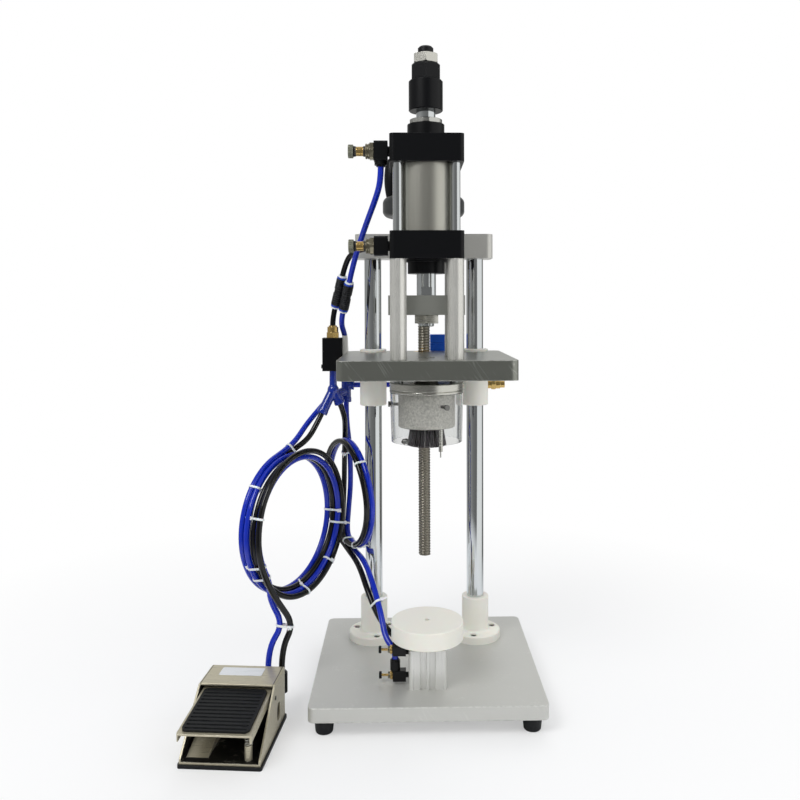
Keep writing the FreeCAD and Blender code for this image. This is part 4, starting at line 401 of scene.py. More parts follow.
# Brushed lines, in noise steps per metre along each axis
ALONG_X, UPRIGHT_LINES, TURNED = (24, 1300, 1300), (1400, 1400, 14), (26, 26, 1800)
CHROME = srgb(214, 218, 220)
CAP_BOSS_LEVEL, STUD_TIP_LEVEL = 0.6418, 0.7315   # where the bare nut and the dark stud begin
BLACK_CAST = dict(colour=srgb(9, 10, 13), wear_highlight_colour=srgb(70, 70, 72), roughness=0.36, depth=0.05, tone=0.06,
                  edge=0.6, ior=1.3)
FOOT_SHEET = dict(colour=srgb(188, 181, 158), wear_highlight_colour=srgb(236, 231, 212), roughness=0.3, metallic=0.5,
                  lines=(30, 1000, 1000), depth=0.02, patches=0.05, edge=0.7, scratches=0.25)
FINISHES = {
    # On the base and head plates the near-white edge colour paints chamfer highlights as well as wear.
    "base_paint": finish("base aluminium", srgb(198, 198, 193), wear_highlight_colour=srgb(248, 248, 243), roughness=0.4,
                         metallic=0.35, lines=ALONG_X, depth=0.03, scratches=0.12, edge=1.0,
                         edge_radius=0.002),
    "plate_steel": finish("head plate steel", srgb(142, 144, 137), wear_highlight_colour=srgb(240, 240, 234), roughness=0.32,
                          metallic=0.85, lines=ALONG_X, depth=0.05, scratches=0.28, edge=1.0,
                          scratch_turn=(0.0, 0.62, 0.0), edge_radius=0.0018),
    "chrome_rod": finish("chromed rod", CHROME, roughness=0.07, metallic=1.0, lines=TURNED, depth=0.01,
                         tone=0.01, patches=0.01, rough_spread=0.04, edge=0.1),
    "nylon": finish("white nylon", srgb(234, 232, 222), roughness=0.46, depth=0.03, tone=0.01, patches=0.02,
                    edge=0.1, subsurface=0.15),
    "screw_steel": finish("screw steel", srgb(120, 120, 118), wear_highlight_colour=srgb(190, 190, 186), roughness=0.32,
                          metallic=1.0, edge=0.5),
    "dark_steel": finish("dark steel", srgb(92, 90, 84), wear_highlight_colour=srgb(160, 158, 152), roughness=0.4,
                         metallic=0.9, lines=TURNED, depth=0.05, tone=0.08, patches=0.1, edge=0.5,
                         scratches=0.3),
    "black_cast": finish("black anodised block", **BLACK_CAST),
    "tube_alu": finish("cylinder tube", srgb(188, 187, 178), roughness=0.34, metallic=0.93,
                       lines=UPRIGHT_LINES, depth=0.04),
    "alu": finish("bright aluminium", srgb(204, 203, 197), roughness=0.34, metallic=0.5, lines=ALONG_X,
                  depth=0.04, scratches=0.15),
    "brass": finish("brass", srgb(226, 192, 122), wear_highlight_colour=srgb(248, 228, 176), roughness=0.24, metallic=1.0,
                    tone=0.06),
    "nickel": finish("nickelled brass", srgb(158, 152, 132), wear_highlight_colour=srgb(214, 208, 190), roughness=0.25,
                     metallic=1.0, tone=0.08),
    "black_plastic": finish("black plastic", srgb(10, 11, 13), wear_highlight_colour=srgb(58, 58, 62), roughness=0.34,
                            depth=0.04, tone=0.05, ior=1.35),
    "wheel_plastic": finish("handwheel plastic", srgb(50, 52, 52), wear_highlight_colour=srgb(84, 85, 88), roughness=0.42,
                            depth=0.1, tone=0.05),
    "bell_cast": finish("frosted bell", srgb(190, 188, 181), wear_highlight_colour=srgb(232, 231, 226), roughness=0.55,
                        metallic=0.25, grain=420.0, depth=1.0, tone=0.5, patches=0.08),
    "bright_steel": finish("turned steel", srgb(208, 207, 200), roughness=0.26, metallic=1.0, lines=TURNED,
                           depth=0.08, tone=0.06),
    "clear_guard": finish("clear guard", srgb(250, 251, 251), roughness=0.05, tone=0.0, patches=0.0,
                          transmission=1.0, ior=1.3, edge=0.0, rough_spread=0.03),
    "blue_anodised": finish("blue anodised", srgb(16, 92, 214), wear_highlight_colour=srgb(110, 150, 236), roughness=0.3,
                            metallic=0.25, lines=ALONG_X, depth=0.03),
    "hose_blue": finish("blue hose", srgb(0, 39, 174), roughness=0.2, edge=0.0, ior=1.45, coat=0.35,
                        coat_roughness=0.05, patches=0.12),
    "hose_black": finish("black hose", srgb(6, 6, 8), roughness=0.2, edge=0.0, ior=1.4, coat=0.15,
                         coat_roughness=0.08),
    "clear_blue": finish("clear blue plastic", srgb(4, 46, 158), roughness=0.06, edge=0.0,
                         transmission=0.28, ior=1.5, coat=0.8, coat_roughness=0.03),
    "fitting": finish("fitting plastic", srgb(15, 16, 20), wear_highlight_colour=srgb(96, 98, 102), roughness=0.3,
                      depth=0.05, edge=0.8, edge_radius=0.0005),
    "foot_nickel": finish("nickelled steel", **FOOT_SHEET),
    "rubber": finish("black rubber", srgb(13, 15, 18), wear_highlight_colour=srgb(60, 62, 64), roughness=0.5, depth=0.2,
                     tone=0.06, ior=1.35),
    # Inside the case, a dark colour paints the shade on its floor and inner walls.
    "foot_case": finish("foot valve case", end=dict(axis="inside", colour=srgb(24, 23, 20), roughness=0.45,
                                                    metallic=0.3), **FOOT_SHEET),
    "upper_cap": finish("upper cap", end=dict(axis="Z", level=CAP_BOSS_LEVEL, colour=srgb(200, 200, 196),
                                              roughness=0.25, metallic=1.0), **BLACK_CAST),
    "piston_rod": finish("piston rod", CHROME, roughness=0.1, metallic=1.0, lines=TURNED, depth=0.01,
                         tone=0.01, edge=0.1, end=dict(axis="Z", level=STUD_TIP_LEVEL, roughness=0.4,
                                                       colour=srgb(30, 30, 32), metallic=0.6)),
    "standoffs": finish("satin standoff", srgb(218, 217, 211), roughness=0.28, metallic=0.62,
                        lines=UPRIGHT_LINES, depth=0.02),
    "crossbar": finish("crossbar steel", srgb(150, 151, 144), wear_highlight_colour=srgb(200, 200, 194), roughness=0.42,
                       metallic=0.55, lines=ALONG_X, depth=0.03, edge=0.5),
    "lead_screw": finish("rolled thread", srgb(132, 127, 116), wear_highlight_colour=srgb(172, 168, 158), roughness=0.36,
                         metallic=0.75, tone=0.1, patches=0.1, edge=0.3),
    "lift_cylinder": finish("drawn aluminium", srgb(222, 222, 218), wear_highlight_colour=srgb(250, 250, 246), roughness=0.3,
                            metallic=0.5, lines=UPRIGHT_LINES, depth=0.04, edge=0.9),
    "collet": finish("collet plastic", srgb(24, 18, 24), wear_highlight_colour=srgb(120, 110, 112), roughness=0.3, ior=1.4,
                     lines=UPRIGHT_LINES, depth=0.2, tone=0.2, edge=0.8),
    "blue_ring": finish("blue collar", srgb(12, 60, 180), roughness=0.35, depth=0.03, edge=0.2),
    "knob": finish("olive knob", srgb(128, 129, 112), wear_highlight_colour=srgb(190, 190, 176), roughness=0.34,
                   metallic=0.6, edge=0.6),
    "tie": finish("white tie", srgb(236, 238, 240), roughness=0.4, depth=0.03, tone=0.01, edge=0.1,
                  subsurface=0.1),
    "blank_label": finish("bare label", srgb(226, 229, 232), roughness=0.3, metallic=0.25, lines=ALONG_X,
                          depth=0.02, edge=0.2, scratches=0.2),
}


def paint_nodes():
    """Gives every CAD node its own finish, or that of its slot."""
    for name, item in NODES.items():
        item.data.materials.clear()
        item.data.materials.append(FINISHES.get(name) or FINISHES[SUBPARTS[name]])


# Hoses, along the routes of the part's source

HOSE_D = 8.0
TURN_POINTS = 16   # points on one turn of a coil
FOOT_RING = dict(centre=(-180, 75, 108), turn=60.0, r=97.0)
LIFT_RING = dict(centre=(-109, 151, 131), turn=-65.4, r=79.5)
# How far out and along its coil each hose lies, at every quarter turn
FOOT_BLUE_LAY = ((3, -15), (0, -14.5), (-3, -14), (-5, -12), (-2, -9), (1.5, -5), (0.5, 1), (-1.5, 5),
                 (-3.5, 8), (-4, 10), (-3, 12.5))
FOOT_BLACK_LAY = ((-7.5, -17), (-7.5, -9.5), (-4.5, -5), (-1.5, -3), (-4.5, 1), (-4.5, 2.5), (4, 9), (8, 6),
                  (5, 14), (4, 17), (5, 19))
LIFT_BLACK_LAY = ((-4.5, -4.2), (-2.5, -4.2), (-0.5, -12.2), (1.5, -13.6), (3.5, -5.7), (3.9, -4.2))
LIFT_BLUE_LAY = ((-3.9, 4.2), (-1.9, 4.2), (0.1, -3.8), (2.1, -5.2), (4.1, 2.7), (4.5, 4.2))
UNION_BLUE = ((-106.6, 104, 443.6), (-117.5, 124, 401))
UNION_BLACK = ((-117, 114, 453), (-129.53, 131.45, 406.7))
FORK_TOP, FORK = (-133.5, 137, 319), (-133.5, 137, 287)
FORK_LEFT, FORK_RIGHT = (-149.5, 128, 253), (-124, 141, 266)
CROSS_TOP, CROSS_LOW = (-117.5, 177.5, 304), (-117.5, 177.5, 264)
CROSS_BACK, SUPPLY_MOUTH = (-117.5, 177.5, 290), (-105.5, 177.5, 290)
CROSS_SIDE, SIDE_MOUTH, SIDE_AIM = (-117.5, 177.5, 282), (-129.99, 165.06, 276.90), (-142, 153, 272)
FOOT_LEFT, FOOT_RIGHT = (-208.2, 6.7, -67), (-190.3, 5.1, -67)
RAISE_MOUTH, SINK_MOUTH = (-33, -6, -32), (-42, -3, -49)
# Heights in metres where a long hose leaves the frame below and reaches the head carriage above
HEAD_LEVEL, FOOT_LEVEL, LIFT_LEVEL = 0.255, -0.067, -0.049


def ring_frame(ring):
    """Centre, the ring's level direction and its axis, which points to the camera's right."""
    turn = math.radians(ring["turn"])
    level = Vector((math.cos(turn), math.sin(turn), 0))
    axis = Vector((math.sin(turn), -math.cos(turn), 0))
    return Vector(ring["centre"]), level, axis if axis.x > 0 else -axis


def ring_points(ring, start, end, lay):
    """Turns of a coil from one angle to another. lay says how far out and along this hose lies."""
    centre, level, axis = ring_frame(ring)
    whole = (end - start) / 90
    count = round(whole * TURN_POINTS / 4)
    points = []
    for i in range(count + 1):
        quarter = whole * i / count
        k = min(int(quarter), len(lay) - 2)
        part = (quarter - k) / (1 if k < len(lay) - 2 else whole - k)
        part = part * part * (3 - 2 * part)
        out, along = ((1 - part) * a + part * b for a, b in zip(lay[k], lay[k + 1]))
        angle = math.radians(start + 90 * quarter)
        r = ring["r"] + out
        around = level * r * math.cos(angle) + Vector((0, 0, r * math.sin(angle)))
        points.append(centre + around + axis * along)
    return points


def spline(name, points, bevel):
    """Curve object of one smooth NURBS line with these control points."""
    curve = bpy.data.curves.new(name, "CURVE")
    curve.dimensions = "3D"
    curve.resolution_u = 6
    curve.bevel_depth = bevel
    curve.bevel_resolution = 5
    line = curve.splines.new("NURBS")
    line.points.add(len(points) - 1)
    for target, p in zip(line.points, points):
        target.co = (p[0] * MM, p[1] * MM, p[2] * MM, 1.0)
    line.order_u = 3
    line.use_endpoint_u = True
    return linked(name, curve)


def path_of(name, points):
    """Points along the smooth line itself."""
    return [v.co.copy() for v in mesh_of(spline(name + "_line", points, 0)).vertices]


def blend_hose(made):
    """Bakes the hose's placement into its mesh."""
    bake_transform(made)


def long_hose(name, points, colour, nodes):
    """Hose from the frame through its coil up to the head."""
    made = smooth_piece(name, spline(name + "_bar", points, HOSE_D / 2 * MM), colour)
    blend_hose(made)
    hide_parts(*nodes)


def head_hose(name, colour, replaced, lay, points):
    """Hose with both ends on the head."""
    made = spline(name, points, HOSE_D / 2 * MM)
    made.data.materials.append(FINISHES[colour])
    path = path_of(name, points)
    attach(made, "carriage")
    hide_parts(replaced)


# Zip ties: a white band drawn tight round the hose strands that pass a place

TIE_WIDTH, TIE_THICK, TIE_GAP, TIE_EDGE = 3.2, 1.1, 0.1, 0.35
TIE_AROUND = 20   # points round one strand
TIE_FLAT = 0.8   # share of the band's width that is flat
TIE_TURN = 0.7   # radians from one tie's head to the next one's
NEAR_UPRIGHT = 0.9
TIE_HEAD = dict(out=1.2, up=0.0, size=(3.4, 5.4, 4.6))
TIE_TAIL = dict(out=5.1, up=0.9, size=(7.0, 1.0, 2.6))
BOX_SIDES = ((0, 1, 3, 2), (4, 6, 7, 5), (0, 4, 5, 1), (2, 3, 7, 6), (0, 2, 6, 4), (1, 5, 7, 3))
# Name, place and reach of each tie: the strands nearer than the reach run through it
FOOT_TIES = (("tie_coil_top", (-191.5, 84.5, 212), 13), ("tie_coil_left", (-229, 19.7, 172.1), 12),
             ("tie_coil_front", (-215.6, -6, 132.7), 13), ("tie_coil_low", (-218.8, 1.2, 69.5), 12),
             ("tie_coil_low_two", (-215.2, 6, 57.1), 14), ("tie_coil_right", (-135.9, 157.5, 109.1), 13),
             ("tie_coil_bottom", (-165.1, 83.2, 10.1), 16), ("tie_coil_right_two", (-124.6, 157.9, 84.1), 16),
             ("tie_coil_knot", (-137.5, 133, 37.3), 14), ("tie_foot_pair", (-187, 10, -7), 16))
LIFT_TIES = (("tie_lift_top", (-119, 189, 188), 9), ("tie_lift_left", (-146, 214, 165), 9),
             ("tie_lift_right", (-90, 100, 187), 9), ("tie_lift_low", (-112, 163, 57), 10),
             ("tie_lift_knot", (-97, 130, 58), 12), ("tie_lift_pair", (-70, 50, 3), 10))


def hull(points):
    """Corners of the convex outline of flat points, turning left."""
    points = sorted(set(points))

    def half(run):
        kept = []
        for p in run:
            while len(kept) > 1 and ((kept[-1][0] - kept[-2][0]) * (p[1] - kept[-2][1])
                                     <= (kept[-1][1] - kept[-2][1]) * (p[0] - kept[-2][0])):
                kept.pop()
            kept.append(p)
        return kept[:-1]
    return half(points) + half(points[::-1])


def strands_at(place, paths, reach):
    """Where the hoses' lines pass nearest to a place, within reach, and the direction of the nearest one."""
    found = []
    for path in paths:
        away = [(p - place).length for p in path]
        for i in range(1, len(path) - 1):
            if away[i] <= reach and away[i] <= away[i - 1] and away[i] < away[i + 1]:
                found.append((away[i], path[i], (path[i + 1] - path[i - 1]).normalized()))
    found.sort(key=lambda item: item[0])
    return [p for _, p, _ in found], found[0][2]


def zip_tie(name, place, paths, reach, turn):
    """Band, head and cut tail of one tie, in one mesh. turn says where round the hoses its head sits."""
    strands, along = strands_at(Vector(place) * MM, paths, reach * MM)
    side = along.cross(Vector((0, 0, 1)) if abs(along.z) < NEAR_UPRIGHT else Vector((1, 0, 0))).normalized()
    up = along.cross(side)
    side, up = side * math.cos(turn) + up * math.sin(turn), up * math.cos(turn) - side * math.sin(turn)
    flat = [((p - strands[0]).dot(side), (p - strands[0]).dot(up)) for p in strands]

    def around(strand, k, grow):
        """Flat point at step k round a strand, this far outside it."""
        angle, r = math.tau * k / TIE_AROUND, (HOSE_D / 2 + grow) * MM
        return flat[strand][0] + r * math.cos(angle), flat[strand][1] + r * math.sin(angle)

    def world(x, y, z):
        return strands[0] + side * x + up * y + along * z

    corners = hull([(*around(strand, k, TIE_THICK), strand, k)
                    for strand in range(len(flat)) for k in range(TIE_AROUND)])
    inner, outer = ([around(strand, k, grow) for _, _, strand, k in corners] for grow in (TIE_GAP, TIE_THICK))
    bm = bmesh.new()
    half = TIE_WIDTH / 2 * MM
    flat_half = half * TIE_FLAT
    rows = [[bm.verts.new(world(x, y, z)) for x, y in ring]
            for ring, z in ((inner, -half), (outer, -flat_half), (outer, flat_half), (inner, half))]
    for a, b in zip(rows, rows[1:] + rows[:1]):
        for k in range(len(a)):
            bm.faces.new((a[k - 1], a[k], b[k], b[k - 1]))
    far = max(outer, key=lambda p: p[0])
    for block in (TIE_HEAD, TIE_TAIL):
        x, y = far[0] + block["out"] * MM, far[1] + block["up"] * MM
        wide, deep, high = (size * MM / 2 for size in block["size"])
        ends = [bm.verts.new(world(x + sx * wide, y + sy * deep, sz * high))
                for sx in (-1, 1) for sy in (-1, 1) for sz in (-1, 1)]
        for ids in BOX_SIDES:
            bm.faces.new([ends[i] for i in ids])
        edges = {e for corner in ends for e in corner.link_edges}
        bmesh.ops.bevel(bm, geom=list(edges), offset=TIE_EDGE * MM, segments=2, affect="EDGES", profile=0.6)
    made = piece_from(bm, name, [FINISHES["tie"]])
    blend_hose(made)
    return made


# Routes, from the upper end to the lower one. hose_supply runs level from the cross piece to the manifold.

HEAD_HOSES = (
    ("hose_upper_blue", "hose_blue", "upper_head_hose", "loose",
     ((-57.75, -15, 585.75), (-58, -14, 568), (-65, 3, 548), (-80, 38, 517), (-92.5, 71, 488),
      (-101.2, 94.1, 464.8), UNION_BLUE[0])),
    ("hose_upper_blue_low", "hose_blue", "upper_head_hose", "loose",
     (UNION_BLUE[1], (-121.56, 131.45, 385.1), (-117, 150, 367), (-117.5, 166.5, 355), (-117.5, 177.5, 330),
      CROSS_TOP)),
    ("hose_lower_black_low", "hose_black", "lower_head_hose", "loose",
     (UNION_BLACK[1], (-133.5, 137, 392), (-133.5, 137, 381))),
    ("hose_lower_black", "hose_black", "lower_head_hose", "loose",
     ((-57.75, 2, 485.25), (-57.75, 34, 485.25), (-79, 68, 488), (-96, 88, 486), (-110.6, 105.1, 476.6),
      UNION_BLACK[0])),
    ("hose_supply", "hose_blue", "supply_hose", "taut", (SUPPLY_MOUTH, (2, 177.5, 290))))


def foot_routes():
    """The two hoses from the cross piece and the Y piece to the foot valve."""
    blue = ([SIDE_MOUTH, SIDE_AIM, (-158, 145, 254), (-172, 125, 237), (-183, 98, 219)]
            + ring_points(FOOT_RING, 94, 940, FOOT_BLUE_LAY)
            + [(-206, 8, 26), (-189, 12, -9), (FOOT_LEFT[0], FOOT_LEFT[1], -38), FOOT_LEFT])
    black = ([FORK_LEFT, (-155.3, 124.7, 240.7), (-167, 112, 219), (-185, 98, 207)]
             + ring_points(FOOT_RING, 97, 936, FOOT_BLACK_LAY)
             + [(-194, 2, 24), (-175, 10, -8), (FOOT_RIGHT[0], FOOT_RIGHT[1], -38), FOOT_RIGHT])
    return ("hose_foot_blue", "hose_blue", blue), ("hose_foot_black", "hose_black", black)


def lift_routes():
    """The two hoses from the Y piece and the cross piece to the lift's valves."""
    black = ([FORK_RIGHT, (-118, 148, 249), (-118.5, 168, 226), (-121.5, 191, 183), (-122.5, 196, 138),
              (-124, 193, 98)]
             + ring_points(LIFT_RING, 246, 624, LIFT_BLACK_LAY)
             + [(-95, 104, 40), (-81, 64, 16), (-66, 44, -12), (-48, 32, -32), (-33, 14, -32), RAISE_MOUTH])
    blue = ([CROSS_LOW, (-117.5, 177.5, 238), (-113.5, 191, 196), (-112.5, 199, 138), (-116, 197, 98)]
            + ring_points(LIFT_RING, 246, 624, LIFT_BLUE_LAY)
            + [(-87, 108, 44), (-73, 66, 24), (-61, 30, -4), (-55, 8, -27), (-42, -3, -38), SINK_MOUTH])
    return ("hose_lift_black", "hose_black", black), ("hose_lift_blue", "hose_blue", blue)


def add_hoses():
    """The hoses on the head, then each coiled pair with its ties."""
    for row in HEAD_HOSES:
        head_hose(*row)
    for pair, ties, nodes, low in (
            (foot_routes(), FOOT_TIES, ("foot_hoses_upper", "foot_coil", "foot_hoses_lower"), FOOT_LEVEL),
            (lift_routes(), LIFT_TIES, ("lift_hoses_upper", "lift_coil", "lift_hoses_lower"), LIFT_LEVEL)):
        paths = [path_of(name, points) for name, _, points in pair]
        made = [zip_tie(name, place, paths, reach, TIE_TURN * i)
                for i, (name, place, reach) in enumerate(ties)]
        for i, (name, colour, points) in enumerate(pair):
            long_hose(name, points, colour, nodes)


# Turned pieces. A section gives its length, radius, shape and finish.

AROUND = 48
HEX_CORNER = 1.12   # a hexagon's corners are turned off at this share of its half width
KNURL_LOW = 0.94   # share of the radius in a knurl's grooves
THREAD_PITCH, THREAD_DEPTH, THREAD_STEPS = 4.0, 1.1, 6
RIB_PITCH = 3.0
RIB_SHAPE = ((0.05, 1.0), (0.2, 0.0), (0.7, 0.0), (0.9, 1.0))   # share of the pitch, depth
BROKEN_EDGE = 0.5
LEFT, UP = (-1, 0, 0), (0, 0, 1)
HEAD_SCREW = ((9, 3, "round", "brass"), (5.5, 10.5, "hexagon", "nickel"), (5.5, 9.8, "ribs", "nickel"),
              (2.5, 6.8, "round", "dark_steel"), (9, 6, "round", "brass"), (1.5, 6.4, "round", "dark_steel"),
              (2, 6.8, "round", "black_plastic"), (6.6, 8.6, "knurl", "knob"))
LIFT_SCREW = ((7, 1.6, "round", "brass"), (3.5, 5, "hexagon", "brass"), (3, 4.5, "ribs", "nickel"),
              (8, 1.6, "round", "brass"), (3.5, 4.5, "knurl", "black_plastic"))
FLOW_SCREWS = (("upper_needle", "upper_valve_screw", (-57.5, -15, 605.25), HEAD_SCREW),
               ("lower_needle", "lower_valve_screw", (-57.5, -15, 485.25), HEAD_SCREW),
               ("raise_needle", "raise_valve_screw", (-38, -15, -32), LIFT_SCREW),
               ("sink_needle", "sink_valve_screw", (-38, -3, -70.5), LIFT_SCREW))
LEAD_LOW_END = (0, 145, 41)
LEAD_SECTIONS = ((424.7, 9, "thread", "lead_screw"), (12, 17, "round", "dark_steel"),
                 (90.6, 8, "round", "dark_steel"))
UNION_RING, UNION_WAIST = 2.5, 6


def reach_of(shape, r, i, along):
    """Radius at step i round the piece. A hexagon's r is half its width across flats."""
    if shape == "hexagon":
        return min(r / math.cos((math.tau * i / AROUND) % (math.pi / 3) - math.pi / 6), r * HEX_CORNER)
    if shape == "knurl":
        return r * (KNURL_LOW if i % 2 else 1.0)
    if shape == "thread":
        phase = (along / THREAD_PITCH - i / AROUND) % 1.0
        return r - THREAD_DEPTH * abs(2 * phase - 1)
    return r


def section_rings(length, r, shape):
    """Places and radii of the rings along one section. Its edges are broken where it is plain."""
    if shape == "thread":
        steps = round(length / THREAD_PITCH * THREAD_STEPS)
        return [(length * k / steps, r) for k in range(steps + 1)]
    if shape == "ribs":
        count = max(2, round(length / RIB_PITCH))
        return [(length / count * (k + share), r - deep) for k in range(count) for share, deep in RIB_SHAPE]
    edge = min(BROKEN_EDGE, length / 5, r / 4)
    return [(0, r - edge), (edge, r), (length - edge, r), (length, r - edge)]


def turned(name, place, aim, sections, body, replaced):
    """Turned piece that starts at place and runs in the direction aim."""
    place = Vector(place)
    turn = Vector(aim).to_track_quat("Z", "Y").to_matrix()
    finishes = []
    bm = bmesh.new()
    last, at = None, 0.0
    for length, radius, shape, colour in sections:
        if FINISHES[colour] not in finishes:
            finishes.append(FINISHES[colour])
        for along, r in section_rings(length, radius, shape):
            ring = []
            for i in range(AROUND):
                angle = math.tau * i / AROUND
                reach = reach_of(shape, r, i, at + along)
                point = Vector((reach * math.cos(angle), reach * math.sin(angle), at + along))
                ring.append(bm.verts.new((place + turn @ point) * MM))
            if last is None:
                bm.faces.new(ring[::-1])
            else:
                for i in range(AROUND):
                    face = bm.faces.new((last[i - 1], last[i], ring[i], ring[i - 1]))
                    face.material_index = finishes.index(FINISHES[colour])
            last = ring
        at += length
    bm.faces.new(last).material_index = len(finishes) - 1
    made = piece_from(bm, name, finishes)
    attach(made, body)
    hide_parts(replaced)


def add_flow_screws():
    """The four flow screws with their knurled knobs."""
    for name, body, place, sections in FLOW_SCREWS:
        turned(name + "_screw", place, LEFT, sections, body, name)


def add_lead_screw():
    """Lead screw with its thread, thrust collar and plain neck."""
    turned("threaded_lead_screw", LEAD_LOW_END, UP, LEAD_SECTIONS, "spindle", "lead_screw")


def add_unions():
    """Two ribbed black unions, each with a blue ring and a pale collar at both ends."""
    for name, (top, low) in (("blue_union", UNION_BLUE), ("black_union", UNION_BLACK)):
        way = Vector(low) - Vector(top)
        ribbed = (way.length - 4 * UNION_RING - UNION_WAIST) / 2
        turned(name, top, way,
               ((UNION_RING, 6.4, "round", "tie"), (UNION_RING, 7.0, "round", "blue_ring"),
                (ribbed - 1, 7.4, "ribs", "fitting"), (UNION_WAIST, 6.6, "round", "fitting"),
                (ribbed + 1, 7.4, "ribs", "fitting"), (UNION_RING, 7.0, "round", "blue_ring"),
                (UNION_RING, 6.4, "round", "tie")), "carriage", "hose_fittings")


# Clear blue forks below the head plate

BRANCH_TAPER = 0.5
COLLAR_SHARE, COLLAR_RISE = 0.16, 0.5   # share of its branch's length, and how far it stands out
MELT_SIZE, MELT_ROUNDS = 0.0006, 10


def clear_body(name, runs, balls):
    """Moulded branches melted into one skin, with a collar at each mouth."""
    bm = bmesh.new()
    for start, end, r in runs:
        start, end = Vector(start) * MM, Vector(end) * MM
        way = end - start
        turn = way.to_track_quat("Z", "Y").to_matrix().to_4x4()
        collar = r + COLLAR_RISE
        for share, near, far in ((1.0, r - BRANCH_TAPER, r), (COLLAR_SHARE, collar, collar)):
            bmesh.ops.create_cone(bm, cap_ends=True, segments=32, radius1=near * MM, radius2=far * MM,
                                  depth=way.length * share,
                                  matrix=Matrix.Translation(end - way * share / 2) @ turn)
    for place, r in balls:
        bmesh.ops.create_uvsphere(bm, u_segments=24, v_segments=16, radius=r * MM,
                                  matrix=Matrix.Translation(Vector(place) * MM))
    made = piece_from(bm, name, [FINISHES["clear_blue"]])
    melt = made.modifiers.new("melt", "REMESH")
    melt.mode = "VOXEL"
    melt.voxel_size = MELT_SIZE
    melt.use_smooth_shade = True
    made.modifiers.new("soften", "SMOOTH").iterations = MELT_ROUNDS
    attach(made, "carriage")
    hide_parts("hose_fittings")


def add_forks():
    """The Y piece below the valve block and the cross piece behind it."""
    clear_body("fork_fitting", [(FORK_TOP, FORK, 5.6), (FORK, FORK_LEFT, 7.4), (FORK, FORK_RIGHT, 7.4)],
               [(FORK, 8.4)])
    clear_body("cross_fitting", [(CROSS_TOP, CROSS_LOW, 7.5), (CROSS_BACK, SUPPLY_MOUTH, 7.4),
                                 (CROSS_SIDE, SIDE_MOUTH, 7.0)], [])


# Foot valve

LABEL_X, LABEL_Y, LABEL_Z, LABEL_CORNER = (-28, 22.5), (92, 109), (65.9, 66.4), 2
SPRING_COILS, SPRING_STEPS, SPRING_WIRE = 8, 20, 0.0006
SPRING_CLOSED = -0.08   # draws the end coils together


def add_pedal_spring():
    """Coil spring between the post and the pedal."""
    low, high = (Vector(corner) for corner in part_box("pedal_spring"))
    middle, height = (low + high) / 2, high.z - low.z
    r = (high.x - low.x) / 2 - SPRING_WIRE
    curve = bpy.data.curves.new("spring_wire", "CURVE")
    curve.dimensions = "3D"
    curve.bevel_depth = SPRING_WIRE
    curve.bevel_resolution = 3
    curve.use_fill_caps = True
    line = curve.splines.new("POLY")
    line.points.add(SPRING_COILS * SPRING_STEPS)
    for i, point in enumerate(line.points):
        share = i / (SPRING_COILS * SPRING_STEPS)
        angle = math.tau * SPRING_COILS * share
        rise = share + SPRING_CLOSED * math.sin(math.tau * share)
        point.co = (middle.x + r * math.cos(angle), middle.y + r * math.sin(angle),
                    low.z + SPRING_WIRE + (height - 2 * SPRING_WIRE) * min(1, max(0, rise)), 1)
    spring = smooth_piece("coil_spring", linked("spring_wire", curve), "bright_steel")
    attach(spring, "frame")
    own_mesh(spring)
    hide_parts("pedal_spring")


def add_label():
    """Bare silver plate with round corners, flat on the foot valve's roof."""
    turn = Matrix.Translation(FOOT_ORIGIN) @ Matrix.Rotation(FOOT_TURN, 4, "Z")
    bm = bmesh.new()
    rim = [(cx + LABEL_CORNER * math.cos(math.radians(a)), cy + LABEL_CORNER * math.sin(math.radians(a)))
           for cx, cy, first in ((LABEL_X[1], LABEL_Y[1], 0), (LABEL_X[0], LABEL_Y[1], 90),
                                 (LABEL_X[0], LABEL_Y[0], 180), (LABEL_X[1], LABEL_Y[0], 270))
           for a in range(first, first + 91, 30)]
    low, high = ([bm.verts.new(turn @ (Vector((x, y, z)) * MM)) for x, y in rim] for z in LABEL_Z)
    bm.faces.new(low[::-1])
    bm.faces.new(high)
    for k in range(len(rim)):
        bm.faces.new((low[k - 1], low[k], high[k], high[k - 1]))
    plate = piece_from(bm, "bare_label", [FINISHES["blank_label"]])
    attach(plate, "frame")


# Stage

FLOOR_REACH = 9
MACHINE_MIDDLE = (-0.08, 0.06, FLOOR_Z)
# Name, place, aim, width and power of each lamp
LAMPS = (("key lamp", (-1.3, -1.5, 2.2), (0, 0, 0.2), 1.3, 34),
         ("fill lamp", (1.7, -1.2, 1.2), (0, 0, 0.2), 2.3, 16),
         ("rear lamp", (0.6, 1.8, 2.0), (0, 0, 0.3), 2.0, 16))


def white_rays(tree):
    """Mask of the rays that meet the plain white background, and the Light Path's outputs."""
    rays = node(tree, "LightPath").outputs
    return maths(tree, "MAXIMUM", rays["Is Camera Ray"], rays["Is Transmission Ray"]), rays


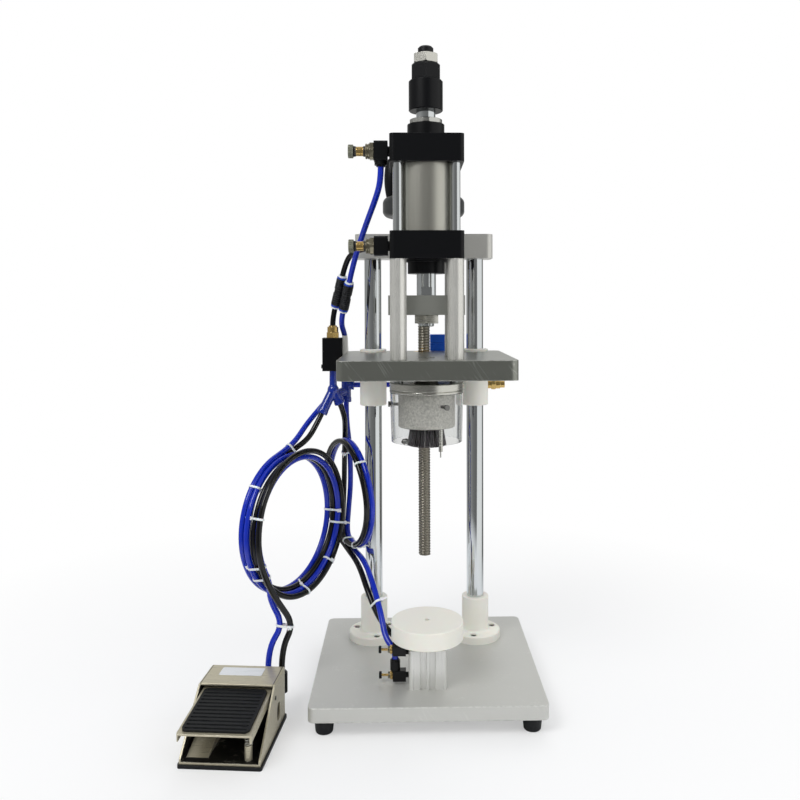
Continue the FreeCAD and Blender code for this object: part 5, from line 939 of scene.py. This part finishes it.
def add_world():
    """Soft light, with white for the camera and studio walls for mirror reflections."""
    world = bpy.data.worlds.new("studio")
    bpy.context.scene.world = world
    world.use_nodes = True
    tree = world.node_tree
    tree.nodes.clear()
    white_seen, rays = white_rays(tree)
    soft = node(tree, "Background", {"Color": (0.95, 0.97, 1.0, 1), "Strength": 0.55})
    white = node(tree, "Background", {"Color": (1, 1, 1, 1), "Strength": 1.0})
    walls = placed(tree, SURROUND)
    tree.links.new(node(tree, "TexCoord").outputs["Generated"], walls.inputs["Place"])
    studio = node(tree, "Background", {"Color": walls.outputs["Grey"], "Strength": 1.0})
    mirrored = node(tree, "MixShader", {0: rays["Is Glossy Ray"], 1: soft.outputs[0], 2: studio.outputs[0]})
    shown = node(tree, "MixShader", {0: white_seen, 1: mirrored.outputs[0], 2: white.outputs[0]})
    node(tree, "OutputWorld", {"Surface": shown.outputs[0]})


def add_floor():
    """Pale floor that fades into the white backdrop away from the machine."""
    far = FLOOR_REACH
    mesh = bpy.data.meshes.new("floor")
    mesh.from_pydata([(x, y, FLOOR_Z) for x, y in ((-far, -far), (far, -far), (far, far), (-far, far))], [],
                     [(0, 1, 2, 3)])
    material = bpy.data.materials.new("floor white")
    material.use_nodes = True
    tree = material.node_tree
    pale = tree.nodes["Principled BSDF"]
    pale.inputs["Base Color"].default_value = (0.93, 0.93, 0.93, 1)
    pale.inputs["Roughness"].default_value = 0.9
    pale.inputs["Specular IOR Level"].default_value = 0.1
    place = node(tree, "NewGeometry").outputs["Position"]
    away = node(tree, "VectorMath", {0: place, 1: MACHINE_MIDDLE}, operation="DISTANCE").outputs["Value"]
    white_seen, rays = white_rays(tree)
    fade = node(tree, "MapRange", {"Value": away, "From Min": 0.25, "From Max": 0.9, "To Min": 0.4,
                                   "To Max": 1.0}).outputs["Result"]
    glow = node(tree, "Emission", {"Color": (1, 1, 1, 1), "Strength": 1.0})
    seen = node(tree, "MixShader", {0: maths(tree, "MULTIPLY", white_seen, fade), 1: pale.outputs[0],
                                    2: glow.outputs[0]})
    walls = placed(tree, SURROUND)
    tree.links.new(place, walls.inputs["Place"])
    studio = node(tree, "Emission", {"Color": walls.outputs["Grey"], "Strength": 1.0})
    distant = maths(tree, "MULTIPLY", rays["Is Glossy Ray"], ramp(tree, away, 0.45, 0.7))
    mirrored = node(tree, "MixShader", {0: distant, 1: seen.outputs[0], 2: studio.outputs[0]})
    tree.links.new(mirrored.outputs[0], tree.nodes["Material Output"].inputs["Surface"])
    mesh.materials.append(material)
    linked("floor", mesh)


def add_lamps():
    """Only the key lamp shows in mirror reflections."""
    for name, place, aim, size, power in LAMPS:
        data = bpy.data.lights.new(name, "AREA")
        data.energy = power
        data.size = size
        lamp = linked(name, data)
        lamp.location = place
        lamp.visible_glossy = name == "key lamp"
        lamp.rotation_euler = (Vector(aim) - Vector(place)).to_track_quat("-Z", "Y").to_euler()


bpy.context.scene.view_settings.view_transform = "Standard"
add_camera()
paint_nodes()
add_hoses()
add_flow_screws()
add_lead_screw()
add_unions()
add_forks()
add_pedal_spring()
add_label()
add_world()
add_floor()
add_lamps()
bpy.context.view_layer.update()
